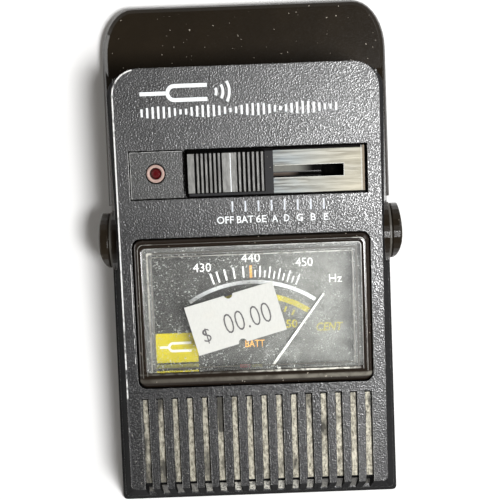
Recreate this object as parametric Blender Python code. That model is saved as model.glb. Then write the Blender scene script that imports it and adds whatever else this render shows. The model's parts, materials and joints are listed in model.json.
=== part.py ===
"""Needle-meter guitar tuner with a folding tilt stand, modelled as an assembly.

World frame: +X to the right, +Y towards the top end, +Z out of the front panel.
The tuner lies on its back on its feet, so z = 0 is the surface it rests on.
The front panel is tilted, so what is fitted to it hangs from the empty
"panel_frame": there z = 0 is the panel's surface and -z goes into the case.
"""
from math import atan2, ceil, cos, pi, radians, sin, sqrt, tan

import bmesh
import bpy
from mathutils import Matrix, Vector

MM = 0.001

# ---- driving dimensions ----
GAP = 0.3 * MM                  # clearance where two pieces meet
FOOT_HEIGHT = 0.8 * MM
BODY_LENGTH = 123.5 * MM        # bottom edge to the stand's far edge
BASE_HALF_WIDTH = 34.85 * MM
BASE_TOP_Y = 46.2 * MM          # foot of the case's top wall
PANEL_HALF_WIDTH = 30.7 * MM
PANEL_BOTTOM_Y = -54.4 * MM
PANEL_TOP_Y = 45.0 * MM
PANEL_TILT = radians(3.75)
PANEL_MID_Z = 23.0 * MM         # panel height over the origin
SPLIT_Z = 7.0 * MM              # where front and rear shell part
WALL = 2.0 * MM
PANEL_THICKNESS = 2.4 * MM
REAR_FLOOR = 1.8 * MM
TOP_CORNER = 6.0 * MM
BOTTOM_CORNER = 1.0 * MM

PIVOT_Y = 5.1 * MM
PIVOT_Z = 10.2 * MM
HUB_RADIUS = 7.4 * MM
BARREL_RADIUS = 9.2 * MM        # round back of the case between the stand's arms
STAND_TOP_Z = 5.0 * MM
STAND_NEAR_Y = 13.3 * MM
STAND_HALF_WIDTH = 35.0 * MM
STAND_CORNER = (8.0 * MM, 12.0 * MM)
ARM_INNER_X = 30.3 * MM
SIDE_WALL_X = 29.1 * MM          # inner face of the case beside the arms
ARM_FLARE = 0.18                # how far the arm leans in per unit of height
HUB_OUTER_X = 33.2 * MM
CAP_RADIUS = 6.65 * MM
CAP_OUTER_X = 36.3 * MM
STEP_Y = -0.9 * MM              # the deep lower half of the back starts here

RECESS = (-27.5 * MM, 27.65 * MM, 14.85 * MM, 26.3 * MM)
RECESS_DEPTH = 2.3 * MM
LED_AT = (-21.4 * MM, 20.9 * MM)
LED_PLATE_END = -15.1 * MM
COVER_PLATE_START = -14.5 * MM
SLOT = (-10.8 * MM, 22.2 * MM, 18.9 * MM, 21.7 * MM)
KNOB = (-13.95 * MM, 3.9 * MM, 16.1 * MM, 25.5 * MM)
KNOB_STEM = (-8.6 * MM, -1.6 * MM, 19.2 * MM, 21.4 * MM)
RIDGES_PER_SIDE = 6

WINDOW = (-27.8 * MM, 27.9 * MM, -29.9 * MM, 5.9 * MM)
WINDOW_CORNER = 2.0 * MM
NEEDLE_AT = (-0.6 * MM, -32.9 * MM)
NEEDLE_LENGTH = 29.4 * MM
NEEDLE_REST = radians(36.7)     # to the right of straight up
DIAL_DEPTH = 6.4 * MM

GROOVE_COUNT = 16
GROOVE_PITCH = 3.53 * MM
GROOVE_WIDTH = 1.85 * MM
GROOVE_DEPTH = 1.2 * MM
GROOVE_TOP_Y = -32.2 * MM
GROOVE_LOW_Z = 8.6 * MM
MIC_Y = -47.7 * MM             # microphone under the sixth groove

LABEL_SIZE = (21.5 * MM, 12.0 * MM)
LABEL_AT = (-4.23 * MM, -13.57 * MM)
LABEL_TURN = radians(15.0)

CELL_RADIUS = 5.2 * MM
CELL_LENGTH = 44.5 * MM
CELL_Z = 7.9 * MM
CELL_YS = (-19.3 * MM, -8.7 * MM)
POCKET = (-25.2 * MM, 25.2 * MM, -24.9 * MM, -3.1 * MM)

JACK_XS = (-17.0 * MM, 17.0 * MM)
JACK_Z = 11.2 * MM
JACK_BORE = 3.25 * MM
SCREW_SPOTS = ((-27.0 * MM, -49.0 * MM), (27.0 * MM, -49.0 * MM),
               (-25.0 * MM, 40.6 * MM), (25.0 * MM, 40.6 * MM))
FAR_OUT = 80.0 * MM             # reach of cutters that run out of the part


# ---- scene helpers ----
def clear_scene():
    for obj in list(bpy.data.objects):
        bpy.data.objects.remove(obj, do_unlink=True)


def material(name, color, roughness, metallic=0.0, alpha=1.0):
    mat = bpy.data.materials.new(name)
    mat.use_nodes = True
    shader = mat.node_tree.nodes["Principled BSDF"]
    shader.inputs["Base Color"].default_value = (*color, 1.0)
    shader.inputs["Roughness"].default_value = roughness
    shader.inputs["Metallic"].default_value = metallic
    shader.inputs["Alpha"].default_value = alpha
    return mat


def empty(name, location, rotation=(0.0, 0.0, 0.0), parent=None):
    obj = bpy.data.objects.new(name, None)
    obj.location = location
    obj.rotation_euler = rotation
    obj.parent = parent
    bpy.context.collection.objects.link(obj)
    return obj


def finish(name, bm, mat, parent=None, smooth_angle=35.0):
    """Turn a bmesh into a named object; its faces are made to point out."""
    bmesh.ops.remove_doubles(bm, verts=bm.verts, dist=1e-7)
    bmesh.ops.recalc_face_normals(bm, faces=bm.faces)
    mesh = bpy.data.meshes.new(name)
    bm.to_mesh(mesh)
    bm.free()
    mesh.shade_smooth()
    mesh.set_sharp_from_angle(angle=radians(smooth_angle))
    obj = bpy.data.objects.new(name, mesh)
    if mat is not None:
        mesh.materials.append(mat)
    if parent is not None:
        obj.parent = parent
    bpy.context.collection.objects.link(obj)
    return obj


def cutter(name, bm, parent=None):
    obj = finish(name, bm, None, parent)
    obj.hide_render = True
    obj.display_type = "WIRE"
    return obj


def boolean(target, tool, operation):
    mod = target.modifiers.new(tool.name, "BOOLEAN")
    mod.operation = operation
    mod.object = tool


def cut(target, *tools):
    for tool in tools:
        boolean(target, tool, "DIFFERENCE")


def fuse(target, *tools):
    for tool in tools:
        boolean(target, tool, "UNION")


# ---- shape helpers: each adds closed solids to a bmesh ----
def add_loft(bm, rings):
    """Join rings of equally many 3-D points and cap both ends."""
    loops = [[bm.verts.new(point) for point in ring] for ring in rings]
    count = len(loops[0])
    for low, high in zip(loops, loops[1:]):
        for i in range(count):
            j = (i + 1) % count
            bm.faces.new((low[i], low[j], high[j], high[i]))
    bm.faces.new(list(reversed(loops[0])))
    bm.faces.new(loops[-1])
    return bm


def add_box(bm, x0, x1, y0, y1, z0, z1):
    ring = ((x0, y0), (x1, y0), (x1, y1), (x0, y1))
    return add_prism(bm, ring, z0, z1)


def add_prism(bm, outline, z0, z1):
    return add_loft(bm, [[(x, y, z) for x, y in outline] for z in (z0, z1)])


def add_side_prism(bm, outline, x0, x1):
    """Extrude an outline of (y, z) points along X."""
    return add_loft(bm, [[(x, y, z) for y, z in outline] for x in (x0, x1)])


def add_lathe(bm, profile, segments, center=(0.0, 0.0, 0.0), axis="Z"):
    """Turn (radius, height) points about an axis; a closed profile makes a ring."""
    spots = {"Z": lambda r, a, h: (r * cos(a), r * sin(a), h),
             "X": lambda r, a, h: (h, r * cos(a), r * sin(a)),
             "Y": lambda r, a, h: (r * sin(a), h, r * cos(a))}
    closed = profile[0][0] > 0.0
    origin = Vector(center)
    rows = []
    for radius, height in profile:
        turns = segments if radius > 0.0 else 1
        rows.append([bm.verts.new(origin + Vector(spots[axis](radius, 2 * pi * i / segments, height)))
                     for i in range(turns)])
    pairs = list(zip(rows, rows[1:]))
    if closed:
        pairs.append((rows[-1], rows[0]))
    for low, high in pairs:
        for i in range(segments):
            j = (i + 1) % segments
            corners = []
            for vert in (low[i % len(low)], low[j % len(low)], high[j % len(high)], high[i % len(high)]):
                if vert not in corners:
                    corners.append(vert)
            if len(corners) > 2:
                bm.faces.new(corners)
    return bm


def add_rod(bm, radius, low, high, segments, center=(0.0, 0.0, 0.0), axis="Z"):
    profile = ((0.0, low), (radius, low), (radius, high), (0.0, high))
    return add_lathe(bm, profile, segments, center, axis)


def arc(cx, cy, rx, ry, start, end, steps):
    """Points on an ellipse's arc; angles in degrees."""
    return [(cx + rx * cos(radians(start + (end - start) * i / steps)),
             cy + ry * sin(radians(start + (end - start) * i / steps)))
            for i in range(steps + 1)]


def rounded_rect(x0, x1, y0, y1, radius, steps=5):
    return (arc(x1 - radius, y0 + radius, radius, radius, -90, 0, steps)
            + arc(x1 - radius, y1 - radius, radius, radius, 0, 90, steps)
            + arc(x0 + radius, y1 - radius, radius, radius, 90, 180, steps)
            + arc(x0 + radius, y0 + radius, radius, radius, 180, 270, steps))


def grown(rect, by):
    """Grow an (x0, x1, y0, y1) rectangle by an amount on every side."""
    x0, x1, y0, y1 = rect
    return (x0 - by, x1 + by, y0 - by, y1 + by)


# ---- outlines of the case ----
def panel_z(y):
    return PANEL_MID_Z + y * tan(PANEL_TILT)


def case_outline(half_width, y_low, y_high, r_low, r_high):
    """Plan of the case; its long sides have points between, to follow their twist."""
    side_steps = 7
    y_start, y_end = y_low + r_low, y_high - r_high
    side = [y_start + (y_end - y_start) * i / side_steps for i in range(1, side_steps)]
    return (arc(half_width - r_low, y_low + r_low, r_low, r_low, -90, 0, 3)
            + [(half_width, y) for y in side]
            + arc(half_width - r_high, y_high - r_high, r_high, r_high, 0, 90, 7)
            + arc(r_high - half_width, y_high - r_high, r_high, r_high, 90, 180, 7)
            + [(-half_width, y) for y in reversed(side)]
            + arc(r_low - half_width, y_low + r_low, r_low, r_low, 180, 270, 3))


def add_case(bm, inset, z_low, panel_drop):
    """The case's wedge: a flat outline below, joined to the tilted panel's outline."""
    base_y = -BODY_LENGTH / 2
    base = case_outline(BASE_HALF_WIDTH - inset, base_y + inset, BASE_TOP_Y - inset,
                        max(BOTTOM_CORNER - inset, 0.4 * MM), TOP_CORNER - inset)
    panel = case_outline(PANEL_HALF_WIDTH - inset, PANEL_BOTTOM_Y + inset, PANEL_TOP_Y - inset,
                         max(BOTTOM_CORNER - inset, 0.4 * MM), TOP_CORNER - inset)
    low = [(x, y, z_low) for x, y in base]
    high = [(x, y, panel_z(y) - panel_drop) for x, y in panel]
    return add_loft(bm, [low, high])


def relief_outline():
    """(y, z) space behind the case that the folded stand fills; its edge follows the barrel."""
    drop = sqrt(BARREL_RADIUS ** 2 - (STEP_Y - PIVOT_Y) ** 2)
    depth = STAND_TOP_Z + GAP
    reach = sqrt(BARREL_RADIUS ** 2 - (PIVOT_Z - depth) ** 2)
    start = -atan2(PIVOT_Z - depth, reach)
    end = -pi + atan2(drop, PIVOT_Y - STEP_Y)
    steps = 10
    barrel = [(PIVOT_Y + BARREL_RADIUS * cos(start + (end - start) * i / steps),
               PIVOT_Z + BARREL_RADIUS * sin(start + (end - start) * i / steps))
              for i in range(steps + 1)]
    return [(STEP_Y, -FAR_OUT), (FAR_OUT, -FAR_OUT), (FAR_OUT, depth)] + barrel


def arm_outline(radius, top_end_y, top_end_z, low_z, end_y):
    """(y, z) side view of a stand arm: a round hub, then a top edge that slopes down."""
    hub = arc(PIVOT_Y, PIVOT_Z, radius, radius, 220, 90, 9)
    return ([(hub[0][0], low_z)] if low_z < 0 else []) + hub + [
        (top_end_y, top_end_z), (end_y, top_end_z), (end_y, low_z)]


# ---- the case ----
def front_shell(plastic, panel):
    shell = finish("front_shell", add_case(bmesh.new(), 0.0, FOOT_HEIGHT, 0.0), plastic)
    cut(shell, cutter("front_below", add_box(bmesh.new(), -FAR_OUT, FAR_OUT, -FAR_OUT, FAR_OUT,
                                             -FAR_OUT, SPLIT_Z + GAP / 2)))
    cut(shell, cutter("front_inside", add_case(bmesh.new(), WALL, -FOOT_HEIGHT, PANEL_THICKNESS)))
    fuse(shell, cutter("front_side_walls", side_walls()))
    cut(shell, cutter("front_channels", arm_channels()))
    cut(shell, cutter("jack_holes", jack_holes()))
    cut(shell, cutter("front_pivot_holes", pivot_holes()))
    fuse(shell, cutter("front_posts", screw_posts()))
    x0, x1, y0, y1 = grown(RECESS, 1.6 * MM)
    floor_low = -RECESS_DEPTH - 1.3 * MM
    fuse(shell, cutter("recess_floor", add_box(bmesh.new(), x0, x1, y0, y1, floor_low, -1.0 * MM), panel))
    cut(shell, cutter("recess", add_box(bmesh.new(), *RECESS, -RECESS_DEPTH, FAR_OUT), panel))
    cut(shell, cutter("recess_holes", recess_holes(floor_low), panel))
    window = rounded_rect(*WINDOW, WINDOW_CORNER)
    cut(shell, cutter("window", add_prism(bmesh.new(), window, -2 * PANEL_THICKNESS, FAR_OUT), panel))
    cut(shell, cutter("grooves", grooves()))
    cut(shell, cutter("mic_hole", mic_hole(), panel))
    return shell


def side_walls():
    """Walls inside the stand's arms, where the case is narrower."""
    bm = bmesh.new()
    for side in (-1, 1):
        inner, outer = SIDE_WALL_X * side, 31.0 * MM * side
        add_box(bm, min(inner, outer), max(inner, outer), PIVOT_Y - 9.8 * MM, PANEL_TOP_Y - 1.6 * MM,
                SPLIT_Z + GAP / 2, 19.0 * MM)
    return bm


def screw_posts():
    bm = bmesh.new()
    for x, y in SCREW_SPOTS:
        profile = ((1.45 * MM, SPLIT_Z + GAP), (3.0 * MM, SPLIT_Z + GAP),
                   (3.0 * MM, panel_z(y) - 1.6 * MM), (1.45 * MM, panel_z(y) - 1.6 * MM))
        add_lathe(bm, profile, 16, (x, y, 0.0))
    return bm


def recess_holes(floor_low):
    """Openings in the recess's floor: one for the knob's stem and one for the lamp."""
    bm = bmesh.new()
    add_box(bm, *grown(SLOT, 0.6 * MM), floor_low - 1.0 * MM, 0.0)
    add_rod(bm, 2.5 * MM, floor_low - 1.0 * MM, 0.0, 20, (*LED_AT, 0.0))
    return bm


def grooves():
    """Slots that run down the panel and on over the bottom wall."""
    bm = bmesh.new()
    lean = (PANEL_BOTTOM_Y + BODY_LENGTH / 2) / (panel_z(PANEL_BOTTOM_Y) - FOOT_HEIGHT)
    floor_y = PANEL_BOTTOM_Y + GROOVE_DEPTH
    floor_z = panel_z(floor_y) - GROOVE_DEPTH
    low_y = floor_y - (floor_z - GROOVE_LOW_Z) * lean
    top_floor = panel_z(GROOVE_TOP_Y) - GROOVE_DEPTH
    outline = [(GROOVE_TOP_Y, top_floor + 10 * MM), (GROOVE_TOP_Y, top_floor + 0.7 * MM),
               (GROOVE_TOP_Y - 0.5 * MM, top_floor), (floor_y, floor_z),
               (low_y, GROOVE_LOW_Z), (low_y - 10 * MM, GROOVE_LOW_Z),
               (low_y - 10 * MM, top_floor + 10 * MM)]
    for i in range(GROOVE_COUNT):
        x = groove_x(i)
        add_side_prism(bm, outline, x - GROOVE_WIDTH / 2, x + GROOVE_WIDTH / 2)
    return bm


def mic_hole():
    """Slit through the floor of the groove over the microphone."""
    x = groove_x(5)
    return add_box(bmesh.new(), x - 0.6 * MM, x + 0.6 * MM, MIC_Y - 2.2 * MM, MIC_Y + 2.2 * MM, -6 * MM, 0.0)


def groove_x(index):
    return (index - (GROOVE_COUNT - 1) / 2) * GROOVE_PITCH


def arm_channels():
    """Space for the stand's arms along both sides of the case."""
    bm = bmesh.new()
    outline = arm_outline(HUB_RADIUS + 0.4 * MM, 44.0 * MM, 6.0 * MM, -FAR_OUT, FAR_OUT)
    for side in (-1, 1):
        add_side_prism(bm, outline, side * (ARM_INNER_X - GAP), side * FAR_OUT)
    return bm


def jack_holes():
    bm = bmesh.new()
    for x in JACK_XS:
        add_rod(bm, 4.3 * MM, BASE_TOP_Y - 6 * MM, FAR_OUT, 24, (x, 0.0, JACK_Z), "Y")
    return bm


def pivot_holes():
    bm = bmesh.new()
    for side in (-1, 1):
        add_rod(bm, 2.7 * MM, side * 20 * MM, side * FAR_OUT, 20, (0.0, PIVOT_Y, PIVOT_Z), "X")
    return bm


def rear_shell(plastic):
    shell = finish("rear_shell", add_case(bmesh.new(), 0.0, FOOT_HEIGHT, 0.0), plastic)
    cut(shell, cutter("rear_above", add_box(bmesh.new(), -FAR_OUT, FAR_OUT, -FAR_OUT, FAR_OUT,
                                            SPLIT_Z - GAP / 2, FAR_OUT)))
    tray = add_box(bmesh.new(), -31.4 * MM, 31.4 * MM, -57.2 * MM, STEP_Y - 1.6 * MM,
                   FOOT_HEIGHT + REAR_FLOOR, FAR_OUT)
    cut(shell, cutter("rear_tray", tray))
    barrel = add_rod(bmesh.new(), BARREL_RADIUS - 1.8 * MM, -27.5 * MM, 27.5 * MM, 32,
                     (0.0, PIVOT_Y, PIVOT_Z), "X")
    cut(shell, cutter("rear_barrel", barrel))
    x0, x1, y0, y1 = POCKET
    block = add_box(bmesh.new(), x0 - 1.4 * MM, x1 + 1.4 * MM, y0 - 1.0 * MM, y1 + 1.2 * MM,
                    FOOT_HEIGHT + 0.5 * MM, 12.6 * MM)
    fuse(shell, cutter("pocket_block", block))
    posts = bmesh.new()
    for x, y in SCREW_SPOTS[:2]:
        add_rod(posts, 3.2 * MM, FOOT_HEIGHT + 0.5 * MM, SPLIT_Z - GAP / 2, 16, (x, y, 0.0))
    fuse(shell, cutter("rear_posts", posts))
    openings = add_box(bmesh.new(), *POCKET, -FAR_OUT, FAR_OUT)
    cut(shell, cutter("pocket", openings))
    door_seat = add_box(bmesh.new(), *grown(POCKET, 0.6 * MM), -FAR_OUT, FOOT_HEIGHT + 1.5 * MM)
    cut(shell, cutter("door_seat", door_seat))
    cut(shell, cutter("relief", add_side_prism(bmesh.new(), relief_outline(), -FAR_OUT, FAR_OUT)))
    cut(shell, cutter("rear_channels", arm_channels()))
    cut(shell, cutter("screw_holes", screw_holes()))
    return shell


def screw_holes():
    """Shaft holes with a wider seat for each screw's head."""
    bm = bmesh.new()
    for (x, y), seat in zip(SCREW_SPOTS, screw_head_levels()):
        profile = ((0.0, -5 * MM), (2.7 * MM, -5 * MM), (2.7 * MM, seat + 1.2 * MM),
                   (1.5 * MM, seat + 1.2 * MM), (1.5 * MM, 20 * MM), (0.0, 20 * MM))
        add_lathe(bm, profile, 16, (x, y, 0.0))
    return bm


def screw_head_levels():
    low = FOOT_HEIGHT + 0.2 * MM
    high = STAND_TOP_Z + 0.15 * MM
    return (low, low, high, high)


def battery_door(plastic):
    x0, x1, y0, y1 = grown(POCKET, 0.6 * MM - GAP)
    z0, z1 = FOOT_HEIGHT, FOOT_HEIGHT + 1.2 * MM
    door = finish("battery_door", add_prism(bmesh.new(), rounded_rect(x0, x1, y0, y1, 0.5 * MM, 2), z0, z1),
                  plastic)
    grips = bmesh.new()
    for i in range(5):
        y = y0 + 3.2 * MM + i * 1.4 * MM
        half = (8.0 - i) * MM
        add_box(grips, -half, half, y - 0.35 * MM, y + 0.35 * MM, -1 * MM, z0 + 0.5 * MM)
    cut(door, cutter("door_grips", grips))
    return door


# ---- tilt stand ----
def arm_x(z):
    """Outer face of a stand arm at a height."""
    return STAND_HALF_WIDTH - ARM_FLARE * (z - FOOT_HEIGHT)


def tilt_stand(plastic, pivot):
    to_pivot = Matrix.Translation((0.0, -PIVOT_Y, -PIVOT_Z))
    far_y = BODY_LENGTH / 2
    rx, ry = STAND_CORNER
    # (inset, z) of the plate's edge, rounded above and below
    edge = ((1.0 * MM, FOOT_HEIGHT), (0.25 * MM, 1.2 * MM), (0.0, 2.0 * MM),
            (0.15 * MM, 3.4 * MM), (0.6 * MM, 4.3 * MM), (1.6 * MM, STAND_TOP_Z))
    rings = []
    for inset, z in edge:
        hw = STAND_HALF_WIDTH - inset
        outline = ([(-hw, STAND_NEAR_Y), (hw, STAND_NEAR_Y)]
                   + arc(STAND_HALF_WIDTH - rx, far_y - ry, rx - inset, ry - inset, 0, 90, 9)
                   + arc(rx - STAND_HALF_WIDTH, far_y - ry, rx - inset, ry - inset, 90, 180, 9))
        rings.append([(x, y, z) for x, y in outline])
    plate = add_loft(bmesh.new(), rings)
    plate.transform(to_pivot)
    stand = finish("tilt_stand", plate, plastic, pivot)
    outline = arm_outline(HUB_RADIUS, 46.6 * MM, 4.4 * MM, 2.2 * MM, 47.0 * MM)
    arms = bmesh.new()
    hubs = bmesh.new()
    for side in (-1, 1):
        rings = [[(side * ARM_INNER_X, y, z) for y, z in outline],
                 [(side * (arm_x(z) - 0.2 * MM), y, z) for y, z in outline]]
        add_loft(arms, rings)
        add_rod(hubs, HUB_RADIUS - 0.1 * MM, side * (ARM_INNER_X + 0.2 * MM), side * HUB_OUTER_X, 32,
                (0.0, PIVOT_Y, PIVOT_Z), "X")
    arms.transform(to_pivot)
    hubs.transform(to_pivot)
    fuse(stand, cutter("stand_arms", arms, pivot), cutter("stand_hubs", hubs, pivot))
    pockets = bmesh.new()
    for row in range(2):
        for column in range(3):
            x = (column - 1) * 19.0 * MM
            y = STAND_NEAR_Y + (2.5 + 17.6 * row) * MM
            add_box(pockets, x - 8.6 * MM, x + 8.6 * MM, y, y + 15.8 * MM, -5 * MM, 3.4 * MM)
    holes = pivot_holes()
    seats = bmesh.new()
    for side in (-1, 1):
        add_rod(seats, HUB_RADIUS - 0.3 * MM, side * HUB_OUTER_X, side * FAR_OUT, 32,
                (0.0, PIVOT_Y, PIVOT_Z), "X")
    for tool in (pockets, holes, seats):
        tool.transform(to_pivot)
    cut(stand, cutter("stand_pockets", pockets, pivot), cutter("stand_holes", holes, pivot),
        cutter("stand_seats", seats, pivot))
    return stand


def plug_shape(side):
    """Plan of a cap's outer face: full in the middle, falling away towards the lower end."""
    face = ((-7.0, 34.2), (-6.5, 34.5), (-5.7, 35.1), (-4.4, 35.65), (-2.8, 36.05), (-1.0, 36.25),
            (1.0, 36.2), (3.5, 36.0), (5.6, 35.75), (7.0, 35.55))
    outline = [(side * x * MM, PIVOT_Y + y * MM) for y, x in face]
    outline += [(side * 20 * MM, PIVOT_Y + 7 * MM), (side * 20 * MM, PIVOT_Y - 7 * MM)]
    return add_prism(bmesh.new(), outline, 0.0, 30 * MM)


def pivot_hardware(gloss, nylon):
    """A cap with a snap-in axle, and a thin washer, on each side."""
    spot = (0.0, PIVOT_Y, PIVOT_Z)
    for side, word in ((-1, "left"), (1, "right")):
        base, top, round_off = 33.8 * MM, CAP_OUTER_X, 0.7 * MM
        dome = [(CAP_RADIUS - round_off + round_off * cos(a), top - round_off + round_off * sin(a))
                for a in (0.0, pi / 6, pi / 3, pi / 2)]
        snap = SIDE_WALL_X - GAP
        profile = ([(0.0, snap - 1.4 * MM), (2.4 * MM, snap - 1.4 * MM), (3.0 * MM, snap - 0.6 * MM),
                    (3.0 * MM, snap), (2.4 * MM, snap), (2.4 * MM, base), (CAP_RADIUS - 0.3 * MM, base),
                    (CAP_RADIUS, base + 0.3 * MM)] + dome + [(0.0, top)])
        lathe = add_lathe(bmesh.new(), [(r, side * h) for r, h in profile], 28, spot, "X")
        plug = finish("pivot_plug_" + word, lathe, gloss)
        boolean(plug, cutter("plug_shape_" + word, plug_shape(side)), "INTERSECT")
        ring = ((2.8 * MM, HUB_OUTER_X + 0.1 * MM), (CAP_RADIUS + 0.2 * MM, HUB_OUTER_X + 0.1 * MM),
                (CAP_RADIUS + 0.2 * MM, base - 0.1 * MM), (2.8 * MM, base - 0.1 * MM))
        washer = add_lathe(bmesh.new(), [(r, side * h) for r, h in ring], 28, spot, "X")
        finish("pivot_washer_" + word, washer, nylon)


# ---- switch and lamp ----
def led_plate(plastic, panel):
    x0, _, y0, y1 = grown(RECESS, -GAP)
    plate = finish("led_plate", add_box(bmesh.new(), x0, LED_PLATE_END, y0, y1, -2.0 * MM, -0.35 * MM),
                   plastic, panel)
    hole = add_rod(bmesh.new(), 2.35 * MM, -FAR_OUT, FAR_OUT, 24, (*LED_AT, 0.0))
    cut(plate, cutter("led_hole", hole, panel))


def led_and_bezel(red, clear, panel):
    bezel = ((1.4 * MM, -3.4 * MM), (2.1 * MM, -3.4 * MM), (2.1 * MM, -0.5 * MM),
             (1.8 * MM, -0.25 * MM), (1.4 * MM, -0.6 * MM))
    finish("led_bezel", add_lathe(bmesh.new(), bezel, 24, (*LED_AT, 0.0)), clear, panel)
    dome = arc(0.0, -1.5 * MM, 1.25 * MM, 1.25 * MM, 0, 75, 5)
    profile = [(0.0, -6.6 * MM), (1.25 * MM, -6.6 * MM)] + dome + [(0.0, -0.25 * MM)]
    finish("power_led", add_lathe(bmesh.new(), profile, 20, (*LED_AT, 0.0)), red, panel)


def switch_cover_plate(metal, panel):
    _, x1, y0, y1 = grown(RECESS, -GAP)
    plate = finish("switch_cover_plate",
                   add_box(bmesh.new(), COVER_PLATE_START, x1, y0, y1, -2.0 * MM, -1.5 * MM), metal, panel)
    slot = add_box(bmesh.new(), *SLOT, -FAR_OUT, FAR_OUT)
    cut(plate, cutter("cover_slot", slot, panel))


def slider(knob_plastic, shutter_plastic, panel):
    """Ridged knob with a stem through the slot, and the flat shutter that moves with it."""
    x0, x1, y0, y1 = KNOB
    top = 1.75 * MM
    knob = finish("slider_knob", add_box(bmesh.new(), x0, x1, y0, y1, -0.6 * MM, top), knob_plastic, panel)
    ridges = bmesh.new()
    ridge_top = 2.55 * MM
    # (start of a run of ridges, its pitch); a plain band is left at one end and in the middle
    for start, pitch in ((x0 + 1.95 * MM, 0.98 * MM), (x1 - 6.35 * MM, 1.04 * MM)):
        for i in range(RIDGES_PER_SIDE):
            x = start + (i + 0.5) * pitch
            outline = ((x - 0.4 * MM, top - 0.2 * MM), (x + 0.4 * MM, top - 0.2 * MM),
                       (x + 0.22 * MM, ridge_top), (x - 0.22 * MM, ridge_top))
            add_loft(ridges, [[(a, y, b) for a, b in outline] for y in (y0 + 0.2 * MM, y1 - 0.2 * MM)])
    bands = ((x0 + 0.15 * MM, x0 + 1.65 * MM), (x0 + 8.05 * MM, x1 - 6.5 * MM))
    for low, high in bands:
        add_box(ridges, low, high, y0 + 0.2 * MM, y1 - 0.2 * MM, top - 0.2 * MM, ridge_top)
    fuse(knob, cutter("knob_ridges", ridges, panel))
    stem = add_box(bmesh.new(), *KNOB_STEM, -5.2 * MM, 0.0)
    fuse(knob, cutter("knob_stem", stem, panel))
    _, _, sy0, sy1 = grown(RECESS, -0.45 * MM)
    shutter = finish("slider_shutter", add_box(bmesh.new(), x0, x1 + 1.95 * MM, sy0, sy1, -1.25 * MM,
                                               -0.85 * MM), shutter_plastic, panel)
    hole = add_box(bmesh.new(), *grown(KNOB_STEM, GAP), -FAR_OUT, FAR_OUT)
    cut(shutter, cutter("shutter_hole", hole, panel))


def slide_switch(black, brass, panel):
    """Open-topped switch box below the recess, with the contact carriage in it."""
    x0, x1, y0, y1 = SLOT
    z_low, z_high = -7.0 * MM, -3.9 * MM
    box = finish("slide_switch_body", add_box(bmesh.new(), x0 - 2.2 * MM, x1 + 2.2 * MM, y0 - 2.4 * MM,
                                              y1 + 2.4 * MM, z_low, z_high), black, panel)
    well = add_box(bmesh.new(), x0 - 1.2 * MM, x1 + 1.2 * MM, y0 - 1.4 * MM, y1 + 1.4 * MM,
                   z_low + 0.6 * MM, FAR_OUT)
    cut(box, cutter("switch_well", well, panel))
    sx0, sx1, sy0, sy1 = grown(KNOB_STEM, 0.8 * MM)
    carriage = finish("switch_contact", add_box(bmesh.new(), sx0, sx1, sy0 - 0.6 * MM, sy1 + 0.6 * MM,
                                                -6.1 * MM, -4.3 * MM), brass, panel)
    socket = add_box(bmesh.new(), *grown(KNOB_STEM, GAP), -5.5 * MM, FAR_OUT)
    cut(carriage, cutter("contact_socket", socket, panel))


# ---- meter ----
def meter_case(black, panel):
    x0, x1, y0, y1 = grown(WINDOW, 0.5 * MM)
    case_low = -42.6 * MM
    block = add_box(bmesh.new(), x0, x1, case_low, y1, -8.3 * MM, -2.75 * MM)
    case = finish("meter_case", block, black, panel)
    wall = 0.7 * MM
    well = add_box(bmesh.new(), x0 + wall, x1 - wall, case_low + wall, y1 - wall, -7.3 * MM, FAR_OUT)
    cut(case, cutter("meter_well", well, panel))
    hole = add_rod(bmesh.new(), 5.2 * MM, -FAR_OUT, FAR_OUT, 28, (*NEEDLE_AT, 0.0))
    cut(case, cutter("movement_hole", hole, panel))


def meter_lens(clear, panel):
    """Thick clear window with a wide bevel round its face."""
    rings = []
    for inset, z in ((0.3, -2.4), (0.3, -0.5), (0.5, 0.1), (1.0, 0.5), (1.9, 0.7)):
        rect = grown(WINDOW, -inset * MM)
        rings.append([(x, y, z * MM) for x, y in rounded_rect(*rect, WINDOW_CORNER - 0.2 * MM)])
    finish("meter_lens", add_loft(bmesh.new(), rings), clear, panel)


def meter_dial(paint, panel):
    x0, x1, _, y1 = grown(WINDOW, -0.4 * MM)
    plate = add_box(bmesh.new(), x0, x1, -30.0 * MM, y1, -DIAL_DEPTH - 0.5 * MM, -DIAL_DEPTH)
    finish("meter_dial", plate, paint, panel)


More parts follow.
